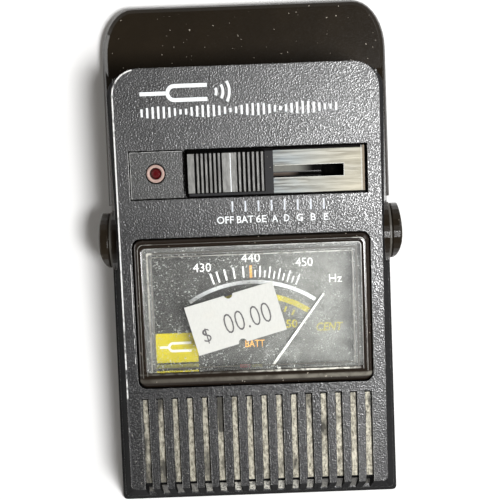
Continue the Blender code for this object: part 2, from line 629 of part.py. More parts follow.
def movement(metals, panel, pivot):
    """Magnet, yoke and bridge stay put; coil, staff, spring and needle turn."""
    steel, copper, white, brass = metals
    here = (*NEEDLE_AT, 0.0)
    yoke = ((4.8 * MM, -15.4 * MM), (5.8 * MM, -15.4 * MM), (5.8 * MM, -8.6 * MM), (4.8 * MM, -8.6 * MM))
    finish("magnet_yoke", add_lathe(bmesh.new(), yoke, 32, here), steel, panel)
    finish("magnet_core", add_rod(bmesh.new(), 3.4 * MM, -14.8 * MM, -9.3 * MM, 24, here), steel, panel)
    bridge = bmesh.new()
    add_side_prism(bridge, ((-1.6 * MM, -3.7 * MM), (1.6 * MM, -3.7 * MM), (1.6 * MM, -3.1 * MM),
                            (-1.6 * MM, -3.1 * MM)), -9.6 * MM, 9.6 * MM)
    for vert in bridge.verts:
        vert.co.y += NEEDLE_AT[1]
    arch = finish("meter_bridge", bridge, brass, panel)
    legs = bmesh.new()
    for side in (-1, 1):
        near, far = sorted((side * 8.4 * MM, side * 9.5 * MM))
        add_box(legs, near, far, NEEDLE_AT[1] - 1.5 * MM, NEEDLE_AT[1] + 1.5 * MM, -7.0 * MM, -3.3 * MM)
    fuse(arch, cutter("bridge_legs", legs, panel))

    coil = finish("moving_coil", add_box(bmesh.new(), -4.5 * MM, 4.5 * MM, -1.0 * MM, 1.0 * MM,
                                         -15.8 * MM, -8.1 * MM), copper, pivot)
    inside = add_box(bmesh.new(), -3.9 * MM, 3.9 * MM, -2.0 * MM, 2.0 * MM, -15.1 * MM, -8.9 * MM)
    cut(coil, cutter("coil_inside", inside, pivot))
    staff = bmesh.new()
    add_lathe(staff, ((0.0, -7.8 * MM), (0.5 * MM, -7.8 * MM), (0.5 * MM, -4.6 * MM), (0.0, -4.0 * MM)), 12)
    finish("needle_staff", staff, steel, pivot)
    ring = ((1.7 * MM, -7.1 * MM), (2.7 * MM, -7.1 * MM), (2.7 * MM, -6.8 * MM), (1.7 * MM, -6.8 * MM))
    finish("hairspring", add_lathe(bmesh.new(), ring, 20), brass, pivot)

    tip, tail = NEEDLE_LENGTH, -6.0 * MM
    outline = [(-0.2 * MM, tip), (-0.32 * MM, 2.0 * MM)] + arc(0, 0, 1.6 * MM, 1.6 * MM, 110, 250, 5) + [
        (-0.7 * MM, tail), (0.7 * MM, tail)] + arc(0, 0, 1.6 * MM, 1.6 * MM, -70, 70, 5) + [
        (0.32 * MM, 2.0 * MM), (0.2 * MM, tip)]
    needle = finish("meter_needle", add_prism(bmesh.new(), outline, -5.6 * MM, -5.2 * MM), white, pivot)
    eye = add_rod(bmesh.new(), 0.8 * MM, -FAR_OUT, FAR_OUT, 12)
    cut(needle, cutter("needle_eye", eye, pivot))


def price_label(paper, panel):
    """Shop label stuck askew on the window, with a round notch in each long side."""
    half_x, half_y = LABEL_SIZE[0] / 2, LABEL_SIZE[1] / 2
    notch = 1.0 * MM
    outline = ([(-half_x, -half_y)] + arc(0, -half_y, notch, notch, 180, 0, 6)
               + [(half_x, -half_y), (half_x, half_y)] + arc(0, half_y, notch, notch, 0, -180, 6)
               + [(-half_x, half_y)])
    bm = add_prism(bmesh.new(), outline, 0.75 * MM, 0.95 * MM)
    bm.transform(Matrix.Translation((*LABEL_AT, 0.0)) @ Matrix.Rotation(LABEL_TURN, 4, "Z"))
    finish("price_label", bm, paper, panel)


# ---- electronics ----
def electronics(mats, panel):
    board_top = -7.3 * MM
    board = add_box(bmesh.new(), -27.4 * MM, 27.4 * MM, 8.6 * MM, 36.6 * MM, board_top - 1.2 * MM, board_top)
    finish("circuit_board", board, mats["board"], panel)
    under = board_top - 1.5 * MM
    for name, x, y, length in (("tuner_chip", -3.0 * MM, 18.0 * MM, 19.0 * MM),
                               ("amplifier_chip", 5.5 * MM, 18.0 * MM, 9.5 * MM)):
        chip(name, x, y, length, under, mats["black"], panel)
    can = rounded_rect(-24.0 * MM, -13.0 * MM, 29.4 * MM, 34.0 * MM, 2.2 * MM, 4)
    finish("quartz_crystal", add_prism(bmesh.new(), can, board_top + GAP, board_top + 3.8 * MM),
           mats["steel"], panel)
    for i in range(3):
        x = (-6.0 + 10.0 * i) * MM
        can = ((0.0, 0.0), (1.7 * MM, 0.0), (1.95 * MM, 0.25 * MM), (1.95 * MM, 6.5 * MM),
               (1.7 * MM, 6.8 * MM), (0.0, 6.8 * MM))
        bm = add_lathe(bmesh.new(), can, 16, (x, 31.6 * MM, board_top + 2.3 * MM), "X")
        finish("capacitor_%d" % (i + 1), bm, mats["sleeve"], panel)
    spot = (groove_x(5), MIC_Y, 0.0)
    finish("microphone", add_rod(bmesh.new(), 4.0 * MM, -9.0 * MM, -4.2 * MM, 24, spot), mats["steel"], panel)
    boot = ((4.3 * MM, -9.0 * MM), (4.8 * MM, -9.0 * MM), (4.8 * MM, -2.8 * MM), (3.0 * MM, -2.8 * MM),
            (3.0 * MM, -3.7 * MM), (4.3 * MM, -3.7 * MM))
    finish("microphone_boot", add_lathe(bmesh.new(), boot, 24, spot), mats["rubber"], panel)


def chip(name, x, y, length, z_top, mat, panel):
    """Moulded chip body with chamfered long sides."""
    rings = [[(x - w, y - length / 2, z), (x + w, y - length / 2, z),
              (x + w, y + length / 2, z), (x - w, y + length / 2, z)]
             for w, z in ((2.8 * MM, z_top - 3.2 * MM), (3.1 * MM, z_top - 1.6 * MM), (2.8 * MM, z_top))]
    finish(name, add_loft(bmesh.new(), rings), mat, panel)


def jack_sockets(black):
    for x, word in zip(JACK_XS, ("input_jack", "output_jack")):
        block = add_box(bmesh.new(), x - 4.3 * MM, x + 4.3 * MM, 16.6 * MM, 42.4 * MM,
                        JACK_Z - 4.0 * MM, JACK_Z + 3.9 * MM)
        jack = finish(word, block, black)
        nose = add_rod(bmesh.new(), 4.0 * MM, 41.0 * MM, 45.5 * MM, 24, (x, 0.0, JACK_Z), "Y")
        bore = add_rod(bmesh.new(), JACK_BORE, 17.8 * MM, FAR_OUT, 24, (x, 0.0, JACK_Z), "Y")
        fuse(jack, cutter(word + "_nose", nose))
        cut(jack, cutter(word + "_bore", bore))


# ---- power ----
def battery_cells(sleeve):
    for i, (y, flip) in enumerate(zip(CELL_YS, (1, -1))):
        half, nub = CELL_LENGTH / 2, 1.0 * MM
        profile = ((0.0, -half), (4.6 * MM, -half), (CELL_RADIUS, -half + 0.5 * MM),
                   (CELL_RADIUS, half - nub - 0.6 * MM), (4.6 * MM, half - nub), (1.9 * MM, half - nub),
                   (1.9 * MM, half), (0.0, half))
        bm = add_lathe(bmesh.new(), [(r, flip * h) for r, h in profile], 24, (0.0, y, CELL_Z), "X")
        finish("battery_cell_%d" % (i + 1), bm, sleeve)


def battery_contacts(steel):
    """A flat plate at each cell's button end and a coil spring at its flat end."""
    for i, (y, flip) in enumerate(zip(CELL_YS, (1, -1))):
        x0, x1 = sorted((flip * 24.4 * MM, flip * 24.9 * MM))
        plate = add_box(bmesh.new(), x0, x1, y - 4.2 * MM, y + 4.2 * MM, CELL_Z - 4.2 * MM, CELL_Z + 4.2 * MM)
        finish("battery_contact_%d" % (i + 1), plate, steel)
        finish("battery_spring_%d" % (i + 1), coil_spring(-flip, (0.0, y, CELL_Z)), steel)


def coil_spring(side, center):
    """Conical spring along X: a round wire swept round a helix."""
    turns, per_turn, wire_sides, wire = 2.5, 12, 5, 0.25 * MM
    x_start, x_end = 24.5 * MM, 22.9 * MM
    r_start, r_end = 3.4 * MM, 2.2 * MM
    rings = []
    steps = ceil(turns * per_turn)
    for i in range(steps + 1):
        t = i / steps
        angle = 2 * pi * turns * t
        radius = r_start + (r_end - r_start) * t
        x = x_start + (x_end - x_start) * t
        ring = []
        for k in range(wire_sides):
            phi = 2 * pi * k / wire_sides
            r = radius + wire * cos(phi)
            ring.append((center[0] + side * (x + wire * sin(phi)), center[1] + r * cos(angle),
                         center[2] + r * sin(angle)))
        rings.append(ring)
    return add_loft(bmesh.new(), rings)


# ---- fasteners and feet ----
def case_screws(steel):
    for i, ((x, y), seat) in enumerate(zip(SCREW_SPOTS, screw_head_levels())):
        tip = seat + 11.0 * MM
        profile = ((0.0, seat), (2.2 * MM, seat), (2.4 * MM, seat + 0.2 * MM), (2.4 * MM, seat + 0.9 * MM),
                   (1.2 * MM, seat + 0.9 * MM), (1.2 * MM, tip - 1.2 * MM), (0.0, tip))
        screw = finish("case_screw_%d" % (i + 1), add_lathe(bmesh.new(), profile, 16, (x, y, 0.0)), steel)
        cross = bmesh.new()
        add_prism(cross, cross_outline(x, y, 1.4 * MM, 0.28 * MM), seat - 1 * MM, seat + 0.5 * MM)
        cut(screw, cutter("cross_%d" % (i + 1), cross))


def cross_outline(x, y, reach, half):
    quarter = ((reach, -half), (reach, half), (half, half))
    points = []
    for turn in range(4):
        c, s = (1, 0, -1, 0)[turn], (0, 1, 0, -1)[turn]
        points += [(x + c * px - s * py, y + s * px + c * py) for px, py in quarter]
    return points


def feet(rubber):
    """Two pads on the case's lower end and two near the stand's far edge."""
    spots = (("foot_left", -29.0, -41.0), ("foot_right", 29.0, -41.0),
             ("stand_pad_left", -21.0, 56.3), ("stand_pad_right", 21.0, 56.3))
    for name, x, y in spots:
        profile = ((0.0, 0.0), (3.2 * MM, 0.0), (3.5 * MM, 0.2 * MM), (3.5 * MM, FOOT_HEIGHT - 0.05 * MM),
                   (0.0, FOOT_HEIGHT - 0.05 * MM))
        finish(name, add_lathe(bmesh.new(), profile, 20, (x * MM, y * MM, 0.0)), rubber)


def main():
    clear_scene()
    panel = empty("panel_frame", (0.0, 0.0, PANEL_MID_Z), (PANEL_TILT, 0.0, 0.0))
    stand_pivot = empty("stand_pivot", (0.0, PIVOT_Y, PIVOT_Z))
    needle_pivot = empty("needle_pivot", (*NEEDLE_AT, 0.0), (0.0, 0.0, -NEEDLE_REST), panel)

    case_plastic = material("case_plastic", (0.075, 0.075, 0.078), 0.55)
    smooth_plastic = material("smooth_plastic", (0.03, 0.024, 0.018), 0.25)
    plate_plastic = material("plate_plastic", (0.16, 0.16, 0.155), 0.5)
    knob_plastic = material("knob_plastic", (0.2, 0.2, 0.195), 0.4)
    black_plastic = material("black_plastic", (0.02, 0.02, 0.02), 0.4)
    silver = material("silver_plate", (0.62, 0.63, 0.6), 0.35, 1.0)
    steel = material("steel", (0.6, 0.6, 0.6), 0.3, 1.0)
    brass = material("brass", (0.7, 0.5, 0.22), 0.35, 1.0)
    copper = material("copper_wire", (0.6, 0.25, 0.12), 0.4, 1.0)
    nylon = material("nylon", (0.75, 0.74, 0.7), 0.45)
    clear = material("clear_acrylic", (0.9, 0.9, 0.9), 0.05, 0.0, 0.25)
    clear_pink = material("bezel_clear", (0.8, 0.6, 0.55), 0.1, 0.0, 0.8)
    red = material("lamp_red", (0.25, 0.01, 0.02), 0.1)
    dial_paint = material("dial_paint", (0.1, 0.1, 0.105), 0.6)
    white = material("needle_white", (0.8, 0.8, 0.78), 0.5)
    paper = material("label_paper", (0.82, 0.82, 0.8), 0.7)
    rubber = material("rubber", (0.02, 0.02, 0.02), 0.8)
    board = material("board", (0.28, 0.2, 0.08), 0.5)
    sleeve = material("sleeve", (0.05, 0.08, 0.2), 0.35)

    front_shell(case_plastic, panel)
    rear_shell(case_plastic)
    battery_door(case_plastic)
    tilt_stand(smooth_plastic, stand_pivot)
    pivot_hardware(smooth_plastic, nylon)
    led_plate(plate_plastic, panel)
    led_and_bezel(red, clear_pink, panel)
    switch_cover_plate(silver, panel)
    slider(knob_plastic, black_plastic, panel)
    slide_switch(black_plastic, brass, panel)
    meter_case(black_plastic, panel)
    meter_lens(clear, panel)
    meter_dial(dial_paint, panel)
    movement((steel, copper, white, brass), panel, needle_pivot)
    price_label(paper, panel)
    electronics({"board": board, "black": black_plastic, "steel": steel, "sleeve": sleeve,
                 "rubber": rubber}, panel)
    jack_sockets(black_plastic)
    battery_cells(sleeve)
    battery_contacts(steel)
    case_screws(steel)
    feet(rubber)
    bpy.context.view_layer.update()


main()
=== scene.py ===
"""Looks of the needle-meter guitar tuner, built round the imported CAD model.

World frame: +X to the right, +Y to the top end, +Z out of the front panel, metres.
What sits on the front panel is drawn in the panel's own frame, where z = 0 is the
panel's surface, and is carried over by the matrix PANEL.
"""

import json
from math import atan2, cos, pi, radians, sin, sqrt

import bmesh
import bpy
from mathutils import Matrix, Vector, noise


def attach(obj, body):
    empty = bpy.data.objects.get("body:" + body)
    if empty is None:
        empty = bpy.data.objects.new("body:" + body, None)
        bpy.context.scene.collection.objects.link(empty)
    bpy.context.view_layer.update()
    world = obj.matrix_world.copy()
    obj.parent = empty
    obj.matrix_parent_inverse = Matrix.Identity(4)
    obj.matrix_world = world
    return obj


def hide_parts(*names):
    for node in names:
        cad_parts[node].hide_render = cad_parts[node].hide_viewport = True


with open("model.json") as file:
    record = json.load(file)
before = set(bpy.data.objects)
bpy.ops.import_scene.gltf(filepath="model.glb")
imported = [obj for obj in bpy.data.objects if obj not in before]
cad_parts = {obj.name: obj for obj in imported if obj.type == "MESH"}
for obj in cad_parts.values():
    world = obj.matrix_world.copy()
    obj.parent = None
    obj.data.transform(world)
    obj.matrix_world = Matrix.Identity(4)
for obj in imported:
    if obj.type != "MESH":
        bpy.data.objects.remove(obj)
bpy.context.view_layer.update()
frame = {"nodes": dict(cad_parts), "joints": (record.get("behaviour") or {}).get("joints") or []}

MM = 0.001
NODES = frame["nodes"]


# ---- the panel's own frame, worked out from the CAD model ----
def panel_matrix():
    """The needle turns about the panel's normal, and the panel is the highest plane along it."""
    needle = next(j for j in frame["joints"] if j["name"] == "needle_swing")
    normal = Vector(needle["axis"]).normalized()
    height = max(normal.dot(v.co) for v in NODES["front_shell"].data.vertices)
    tilt = atan2(-normal.y, normal.z)
    return Matrix.Translation((0.0, 0.0, height / normal.z)) @ Matrix.Rotation(tilt, 4, "X")


PANEL = panel_matrix()
FROM_PANEL = PANEL.inverted()


def panel_box(node):
    """(x0, x1, y0, y1, z0, z1) of a CAD node in the panel's frame."""
    points = [FROM_PANEL @ v.co for v in NODES[node].data.vertices]
    ends = [(min(p[i] for p in points), max(p[i] for p in points)) for i in range(3)]
    return ends[0] + ends[1] + ends[2]


# ---- materials ----
def tone(red, green, blue):
    """Scene-linear colour of an 8-bit display colour."""
    return tuple(((c / 255 + 0.055) / 1.055) ** 2.4 if c > 10 else c / 255 / 12.92
                 for c in (red, green, blue))


def scaled(color, factor):
    """Darker or lighter version of a colour."""
    return tuple(c * factor for c in color)


class Finish:
    """A node material with short calls for the nodes that it is made of."""

    def __init__(self, name, color, roughness, metallic=0.0):
        self.mat = bpy.data.materials.new(name)
        self.mat.use_nodes = True
        self.tree = self.mat.node_tree
        self.shader = self.tree.nodes["Principled BSDF"]
        self.out = self.tree.nodes["Material Output"]
        self.put("Base Color", (*color, 1.0))
        self.put("Roughness", roughness)
        self.put("Metallic", metallic)
        self.place = self.node("ShaderNodeTexCoord").outputs["Object"]

    def node(self, kind, **settings):
        made = self.tree.nodes.new(kind)
        for key, value in settings.items():
            setattr(made, key, value)
        return made

    def join(self, socket, value):
        if isinstance(value, bpy.types.NodeSocket):
            self.tree.links.new(value, socket)
        else:
            socket.default_value = value

    def put(self, name, value):
        self.join(self.shader.inputs[name], value)

    def stretched(self, scales):
        mapping = self.node("ShaderNodeMapping")
        self.join(mapping.inputs["Vector"], self.place)
        mapping.inputs["Scale"].default_value = scales
        return mapping.outputs["Vector"]

    def noise(self, size, detail=2.0, rough=0.5, stretch=None):
        """Noise from 0 to 1 with spots of about that size, in metres."""
        made = self.node("ShaderNodeTexNoise")
        self.join(made.inputs["Vector"], self.stretched(stretch) if stretch else self.place)
        made.inputs["Scale"].default_value = 1.0 / size
        made.inputs["Detail"].default_value = detail
        made.inputs["Roughness"].default_value = rough
        return made.outputs["Fac"]

    def cells(self, size):
        made = self.node("ShaderNodeTexVoronoi")
        self.join(made.inputs["Vector"], self.place)
        made.inputs["Scale"].default_value = 1.0 / size
        return made.outputs["Distance"]

    def span(self, value, low, high, start=0.0, end=1.0):
        """Value's range low..high, clamped, turned into start..end."""
        made = self.node("ShaderNodeMapRange", interpolation_type="SMOOTHSTEP")
        for key, item in (("Value", value), ("From Min", low), ("From Max", high),
                          ("To Min", start), ("To Max", end)):
            self.join(made.inputs[key], item)
        return made.outputs["Result"]

    def math(self, operation, a, b=0.0):
        made = self.node("ShaderNodeMath", operation=operation)
        self.join(made.inputs[0], a)
        self.join(made.inputs[1], b)
        return made.outputs["Value"]

    def times(self, first, *others):
        for other in others:
            first = self.math("MULTIPLY", first, other)
        return first

    def most(self, a, b):
        return self.math("MAXIMUM", a, b)

    def mix(self, factor, a, b):
        made = self.node("ShaderNodeMix", data_type="RGBA")
        self.join(made.inputs["Factor"], factor)
        for key, item in ((6, a), (7, b)):
            self.join(made.inputs[key], (*item, 1.0) if isinstance(item, tuple) else item)
        return made.outputs[2]

    def axis(self, index):
        parts = self.node("ShaderNodeSeparateXYZ")
        self.join(parts.inputs[0], self.place)
        return parts.outputs[index]

    def facing(self, index):
        """One part of the surface's direction."""
        parts = self.node("ShaderNodeSeparateXYZ")
        self.join(parts.inputs[0], self.node("ShaderNodeTexCoord").outputs["Normal"])
        return parts.outputs[index]

    def along(self, index):
        """One coordinate in the panel's own frame; 2 is the height over its surface."""
        dot = self.node("ShaderNodeVectorMath", operation="DOT_PRODUCT")
        self.join(dot.inputs[0], self.place)
        direction = PANEL.to_3x3().col[index]
        dot.inputs[1].default_value = direction
        return self.math("SUBTRACT", dot.outputs["Value"], direction.dot(PANEL.translation))

    def recess_shaded(self, base, specular=0.5):
        """Base colour with painted shade along the switch recess's long edges and left of the knob."""
        x, y = self.along(0), self.along(1)
        rims = self.most(self.span(y, 25.1 * MM, 25.4 * MM), self.span(y, 15.15 * MM, 15.4 * MM, 1.0, 0.0))
        left = self.times(self.span(x, -13.9 * MM, -13.7 * MM, 1.0, 0.0),
                          self.span(x, -15.2 * MM, -14.9 * MM))
        shade_mask = self.most(rims, left)
        self.put("Specular IOR Level", self.span(shade_mask, 0.0, 1.0, specular, 0.03))
        return self.mix(shade_mask, base, tone(10, 9, 8))

    def mix_shaders(self, factor, first, second):
        mixed = self.node("ShaderNodeMixShader")
        self.join(mixed.inputs[0], factor)
        self.join(mixed.inputs[1], first.outputs[0])
        self.join(mixed.inputs[2], second.outputs[0])
        return mixed

    def blend(self, factor, color):
        """Show the main shader by that factor, and a matt one of that colour elsewhere."""
        matt = self.node("ShaderNodeBsdfPrincipled")
        matt.inputs["Base Color"].default_value = (*color, 1.0)
        matt.inputs["Roughness"].default_value = 0.9
        matt.inputs["Specular IOR Level"].default_value = 0.05
        mixed = self.mix_shaders(factor, matt, self.shader)
        self.join(self.out.inputs["Surface"], mixed.outputs[0])

    def edges_lit_and_worn(self, radius):
        """Painted highlight on the edges round an upward face, on those facing left and on the left side of
        the case, with fainter rub wear along the rest.
        """
        soft = self.node("ShaderNodeBevel", samples=8)
        soft.inputs["Radius"].default_value = radius
        parts = self.node("ShaderNodeSeparateXYZ")
        self.join(parts.inputs[0], soft.outputs["Normal"])
        edge = self.span(parts.outputs[2], 0.8, 0.965, 1.0, 0.0)
        left = self.span(parts.outputs[0], -0.45, -0.2, 1.0, 0.0)
        inner = self.times(self.span(parts.outputs[0], 0.2, 0.45),
                           self.span(self.axis(0), -27.5 * MM, -26.5 * MM, 1.0, 0.0), 0.7)
        rest = self.span(self.noise(1.4 * MM, 3.0, 0.6), 0.45, 0.62, 0.05, 0.4)
        broken = self.span(self.noise(0.9 * MM, 2.0), 0.3, 0.5, 0.45, 1.0)
        return self.times(edge, self.most(self.most(left, inner), rest), broken)

    def bump(self, height, depth, edge=0.0):
        """Relief from a height; edge is the radius that sharp edges look rounded to."""
        made = self.node("ShaderNodeBump")
        made.inputs["Strength"].default_value = 1.0
        made.inputs["Distance"].default_value = depth
        self.join(made.inputs["Height"], height)
        if edge:
            soft = self.node("ShaderNodeBevel", samples=6)
            soft.inputs["Radius"].default_value = edge
            self.join(made.inputs["Normal"], soft.outputs["Normal"])
        self.put("Normal", made.outputs["Normal"])


def textured_plastic(name, color, roughness, grain=0.36 * MM):
    """Moulded plastic: spark-eroded grain, dust specks, edges with rub wear and a painted highlight, and
    sunken parts and matt dark side walls in painted shade.
    """
    f = Finish(name, color, roughness)
    f.put("IOR", 1.8)
    x, y = f.axis(0), f.axis(1)
    grains = f.noise(grain, 1.0, 0.5)
    patches = f.noise(9 * MM, 3.0)
    worn = tuple(c * 2.8 + 0.05 for c in color)
    base = f.mix(f.span(grains, 0.5, 0.68), scaled(color, 0.25), worn)
    base = f.mix(f.span(patches, 0.35, 0.7, 0.0, 0.3), base, scaled(color, 0.7))
    specks = f.span(f.noise(0.8 * MM, 1.0), 0.735, 0.78, 0.0, 0.35)
    base = f.mix(specks, base, tone(200, 197, 188))
    # Pale flecks, mostly on the lower end of the panel.
    flecks = f.times(f.span(f.noise(0.4 * MM, 2.0, 0.6), 0.57, 0.68, 0.0, 0.34),
                     f.span(y, -34 * MM, -26 * MM, 1.0, 0.15))
    base = f.mix(flecks, base, tone(176, 176, 172))
    # Painted shade: what lies about 1 to 3 mm below the panel's surface is darker.
    height = f.along(2)
    sunk_shade = f.times(f.span(height, -0.9 * MM, -0.15 * MM, 1.0, 0.0),
                   f.span(height, -3.2 * MM, -2.6 * MM))
    base = f.mix(sunk_shade, base, scaled(color, 0.3))
    up = f.span(f.facing(2), 0.55, 0.85)
    # Painted highlight on the upper edges, with some rub wear.
    edge_light_and_wear = f.times(f.edges_lit_and_worn(0.3 * MM), up)
    f.put("Base Color", f.mix(edge_light_and_wear, base, tone(226, 226, 222)))
    rough = f.math("ADD", f.span(patches, 0.3, 0.7, roughness - 0.03, roughness + 0.04),
                   f.span(grains, 0.38, 0.64, 0.16, -0.09))
    f.put("Roughness", f.span(up, 0.0, 1.0, 0.92, rough))
    f.bump(f.span(grains, 0.25, 0.75), 0.03 * MM, edge=0.25 * MM)
    # Painted shade: the sheen is weaker at the lower left, and in the grain's pits away from the top and
    # the right; side walls get only a matt darker colour.
    shaded = f.most(f.span(x, -30 * MM, 4 * MM, 0.84, 1.0), f.span(y, -36 * MM, -4 * MM, 0.84, 1.0))
    calm = f.most(f.span(y, -12 * MM, 20 * MM, 0.0, 0.92), f.span(x, 0.0, 30 * MM, 0.0, 0.74))
    pits = f.most(f.span(grains, 0.44, 0.6, 0.4, 1.0), calm)
    f.blend(f.times(up, shaded, pits), scaled(color, 0.45))
    return f.mat


def smooth_plastic(name, color, roughness, dust=0.5, edge=0.0, grime_and_shade=False):
    """Polished plastic with rub marks, a faint orange peel and dust specks, and if asked, painted shade
    along the switch recess.
    """
    f = Finish(name, color, roughness)
    cloud = f.noise(14 * MM, 4.0, 0.6)
    scuffs = f.noise(0.8 * MM, 3.0, 0.6, (1.0, 7.0, 7.0))
    base = f.mix(f.span(cloud, 0.35, 0.75), color, scaled(color, 1.35))
    specks = f.span(f.noise(0.75 * MM, 1.0), 0.752, 0.785, 0.0, dust)
    base = f.mix(specks, base, tone(215, 205, 190))
    # Painted shade along the switch recess's edges, when asked for.
    f.put("Base Color", f.recess_shaded(base, 0.15) if grime_and_shade else base)
    f.put("Roughness", f.span(scuffs, 0.4, 0.8, roughness, roughness + 0.07))
    f.bump(f.noise(2.2 * MM, 2.0), 0.012 * MM, edge=edge)
    return f.mat


def ridged_plastic(name, dark, light):
    """Satin plastic whose raised ribs are light with rub marks, over valleys in painted shade."""
    f = Finish(name, light, 0.36)
    # Painted shade: the valleys are dark, darker deeper down, and lose their sheen.
    raised = f.span(f.along(2), 2.1 * MM, 2.45 * MM)
    body = f.span(f.along(2), 0.9 * MM, 1.5 * MM)
    side = f.mix(body, scaled(dark, 0.35), dark)
    rub = f.noise(0.7 * MM, 3.0, 0.6, (1.0, 0.3, 1.0))
    top = f.mix(f.span(rub, 0.35, 0.7), scaled(light, 0.75), scaled(light, 1.25))
    f.put("Base Color", f.mix(raised, side, top))
    f.put("Specular IOR Level", f.span(raised, 0.0, 1.0, 0.03, 0.5))
    f.bump(rub, 0.05 * MM, edge=0.07 * MM)
    return f.mat


def lens_edge_highlight(name, dull, bright, reach):
    """Painted highlight on an edge of clear plastic, broken up; reach gives its strength at the left,
    right, top and bottom.
    """
    f = Finish(name, bright, 0.4)
    x, y = f.axis(0), f.axis(1)
    left, right, top, bottom = reach
    sides = f.math("ADD", f.span(x, -23.5 * MM, -22.8 * MM, left, 0.0),
                   f.span(x, 23.1 * MM, 23.8 * MM, 0.0, right))
    ends = f.math("ADD", f.span(y, -27.0 * MM, -26.2 * MM, bottom, 0.0),
                  f.span(y, 0.0, 1.5 * MM, 0.0, top))
    sides = f.times(sides, f.span(y, -22 * MM, -2 * MM, 0.45, 1.0))
    ends = f.times(ends, f.span(x, -20 * MM, 12 * MM, 0.25, 1.0))
    broken = f.span(f.noise(1.3 * MM, 3.0, 0.6), 0.34, 0.56, 0.35, 1.0)
    mask = f.times(f.most(sides, ends), broken)
    f.put("Base Color", f.mix(mask, dull, bright))
    f.bump(broken, 0.01 * MM)
    return f.mat


def edge_highlight(name, dull, bright):
    """Painted highlight line on the panel's edge, broken up along its length."""
    f = Finish(name, bright, 0.35)
    rub = f.noise(2.2 * MM, 3.0, 0.6)
    fade = f.span(f.axis(1), -45 * MM, 0.0, 0.3, 0.0)
    f.put("Base Color", f.mix(f.span(f.math("ADD", rub, fade), 0.52, 0.74), bright, dull))
    f.bump(rub, 0.01 * MM)
    return f.mat


def mask_paint(name, grey, black):
    """Rim of the dial's surround: grey round three sides and black along the lower one."""
    f = Finish(name, grey, 0.5)
    mottle = f.noise(1.8 * MM, 3.0, 0.6)
    base = f.mix(f.span(mottle, 0.3, 0.7), scaled(grey, 0.8), scaled(grey, 1.2))
    f.put("Base Color", f.mix(f.span(f.axis(1), -25.8 * MM, -25.2 * MM), black, base))
    f.bump(mottle, 0.02 * MM)
    return f.mat


def brushed_metal(name, color, roughness):
    """Satin sheet metal with streaks along X, bluish at the left and lighter and warmer towards the right.
    """
    f = Finish(name, color, roughness, 0.25)
    streaks = f.noise(0.5 * MM, 4.0, 0.65, (0.05, 1.0, 1.0))
    tarnish = f.noise(6 * MM, 3.0, 0.55, (0.5, 1.0, 1.0))
    base = f.mix(f.span(streaks, 0.4, 0.6), scaled(color, 0.42), color)
    base = f.mix(f.span(tarnish, 0.4, 0.58, 0.0, 0.6), base, tone(132, 147, 158))
    warm_right = f.times(f.span(f.axis(0), 2 * MM, 27 * MM, 0.0, 0.85), f.span(tarnish, 0.3, 0.6, 0.5, 1.0))
    base = f.mix(warm_right, base, tone(168, 160, 138))
    # Painted shade along the switch recess's edges and left of the knob.
    f.put("Base Color", f.recess_shaded(base))
    f.put("Roughness", f.span(streaks, 0.3, 0.7, roughness + 0.12, roughness - 0.06))
    f.bump(streaks, 0.012 * MM)
    return f.mat


def plain_metal(name, color, roughness):
    """Plated metal with fine scratches and darker stains."""
    f = Finish(name, color, roughness, 1.0)
    scratches = f.noise(0.5 * MM, 3.0, 0.6, (1.0, 0.1, 0.6))
    stains = f.noise(3 * MM, 3.0)
    f.put("Base Color", f.mix(f.span(stains, 0.45, 0.7), color, scaled(color, 0.6)))
    f.put("Roughness", f.span(scratches, 0.35, 0.7, roughness - 0.05, roughness + 0.12))
    f.bump(scratches, 0.006 * MM)
    return f.mat


def paint(name, color, roughness=0.5, fade=0.25, specular=0.5):
    """Printed or sprayed paint, a little uneven in tone and thickness."""
    f = Finish(name, color, roughness)
    f.put("Specular IOR Level", specular)
    wear = f.noise(0.8 * MM, 3.0, 0.6)
    f.put("Base Color", f.mix(f.span(wear, 0.4, 0.75, 0.0, fade), color, scaled(color, 0.55)))
    f.bump(wear, 0.01 * MM)
    return f.mat


def matt_black(name):
    """Painted shade for gaps and dark ends: black without a sheen, mottled a little with dirt."""
    f = Finish(name, tone(5, 5, 5), 0.9)
    f.put("Specular IOR Level", 0.03)
    shade_mask = f.noise(0.7 * MM, 3.0)
    f.put("Base Color", f.mix(f.span(shade_mask, 0.5, 0.75), tone(4, 4, 4), tone(22, 19, 16)))
    f.bump(shade_mask, 0.01 * MM)
    return f.mat


def rim_plastic(name, color):
    """The window's dark rim, with a painted grey sheen and a painted highlight line along its lower side.
    """
    f = Finish(name, color, 0.13)
    x, y = f.along(0), f.along(1)
    cloud = f.noise(3 * MM, 4.0, 0.6)
    # Painted reflection: a grey sheen band along the lower side, stronger to the right.
    sheen = f.times(f.span(y, -28.8 * MM, -28.2 * MM), f.span(y, -27.8 * MM, -27.2 * MM, 1.0, 0.0),
                    f.span(x, -24 * MM, 16 * MM, 0.3, 0.8), f.span(cloud, 0.3, 0.6, 0.5, 1.0))
    base = f.mix(sheen, color, tone(138, 134, 124))
    # Painted highlight: a bright line at the lower side's inner edge, mostly at the right.
    line = f.times(f.span(y, -26.62 * MM, -26.5 * MM), f.span(y, -26.2 * MM, -26.1 * MM, 1.0, 0.0),
                   f.span(x, -8 * MM, 8 * MM, 0.1, 1.0), f.span(x, 24.6 * MM, 25 * MM, 1.0, 0.0),
                   f.span(f.noise(1.2 * MM, 2.0), 0.4, 0.6, 0.3, 1.0))
    base = f.mix(line, base, tone(225, 224, 214))
    specks = f.span(f.noise(0.75 * MM, 1.0), 0.74, 0.78, 0.0, 0.6)
    f.put("Base Color", f.mix(specks, base, tone(215, 205, 190)))
    f.bump(cloud, 0.012 * MM)
    return f.mat


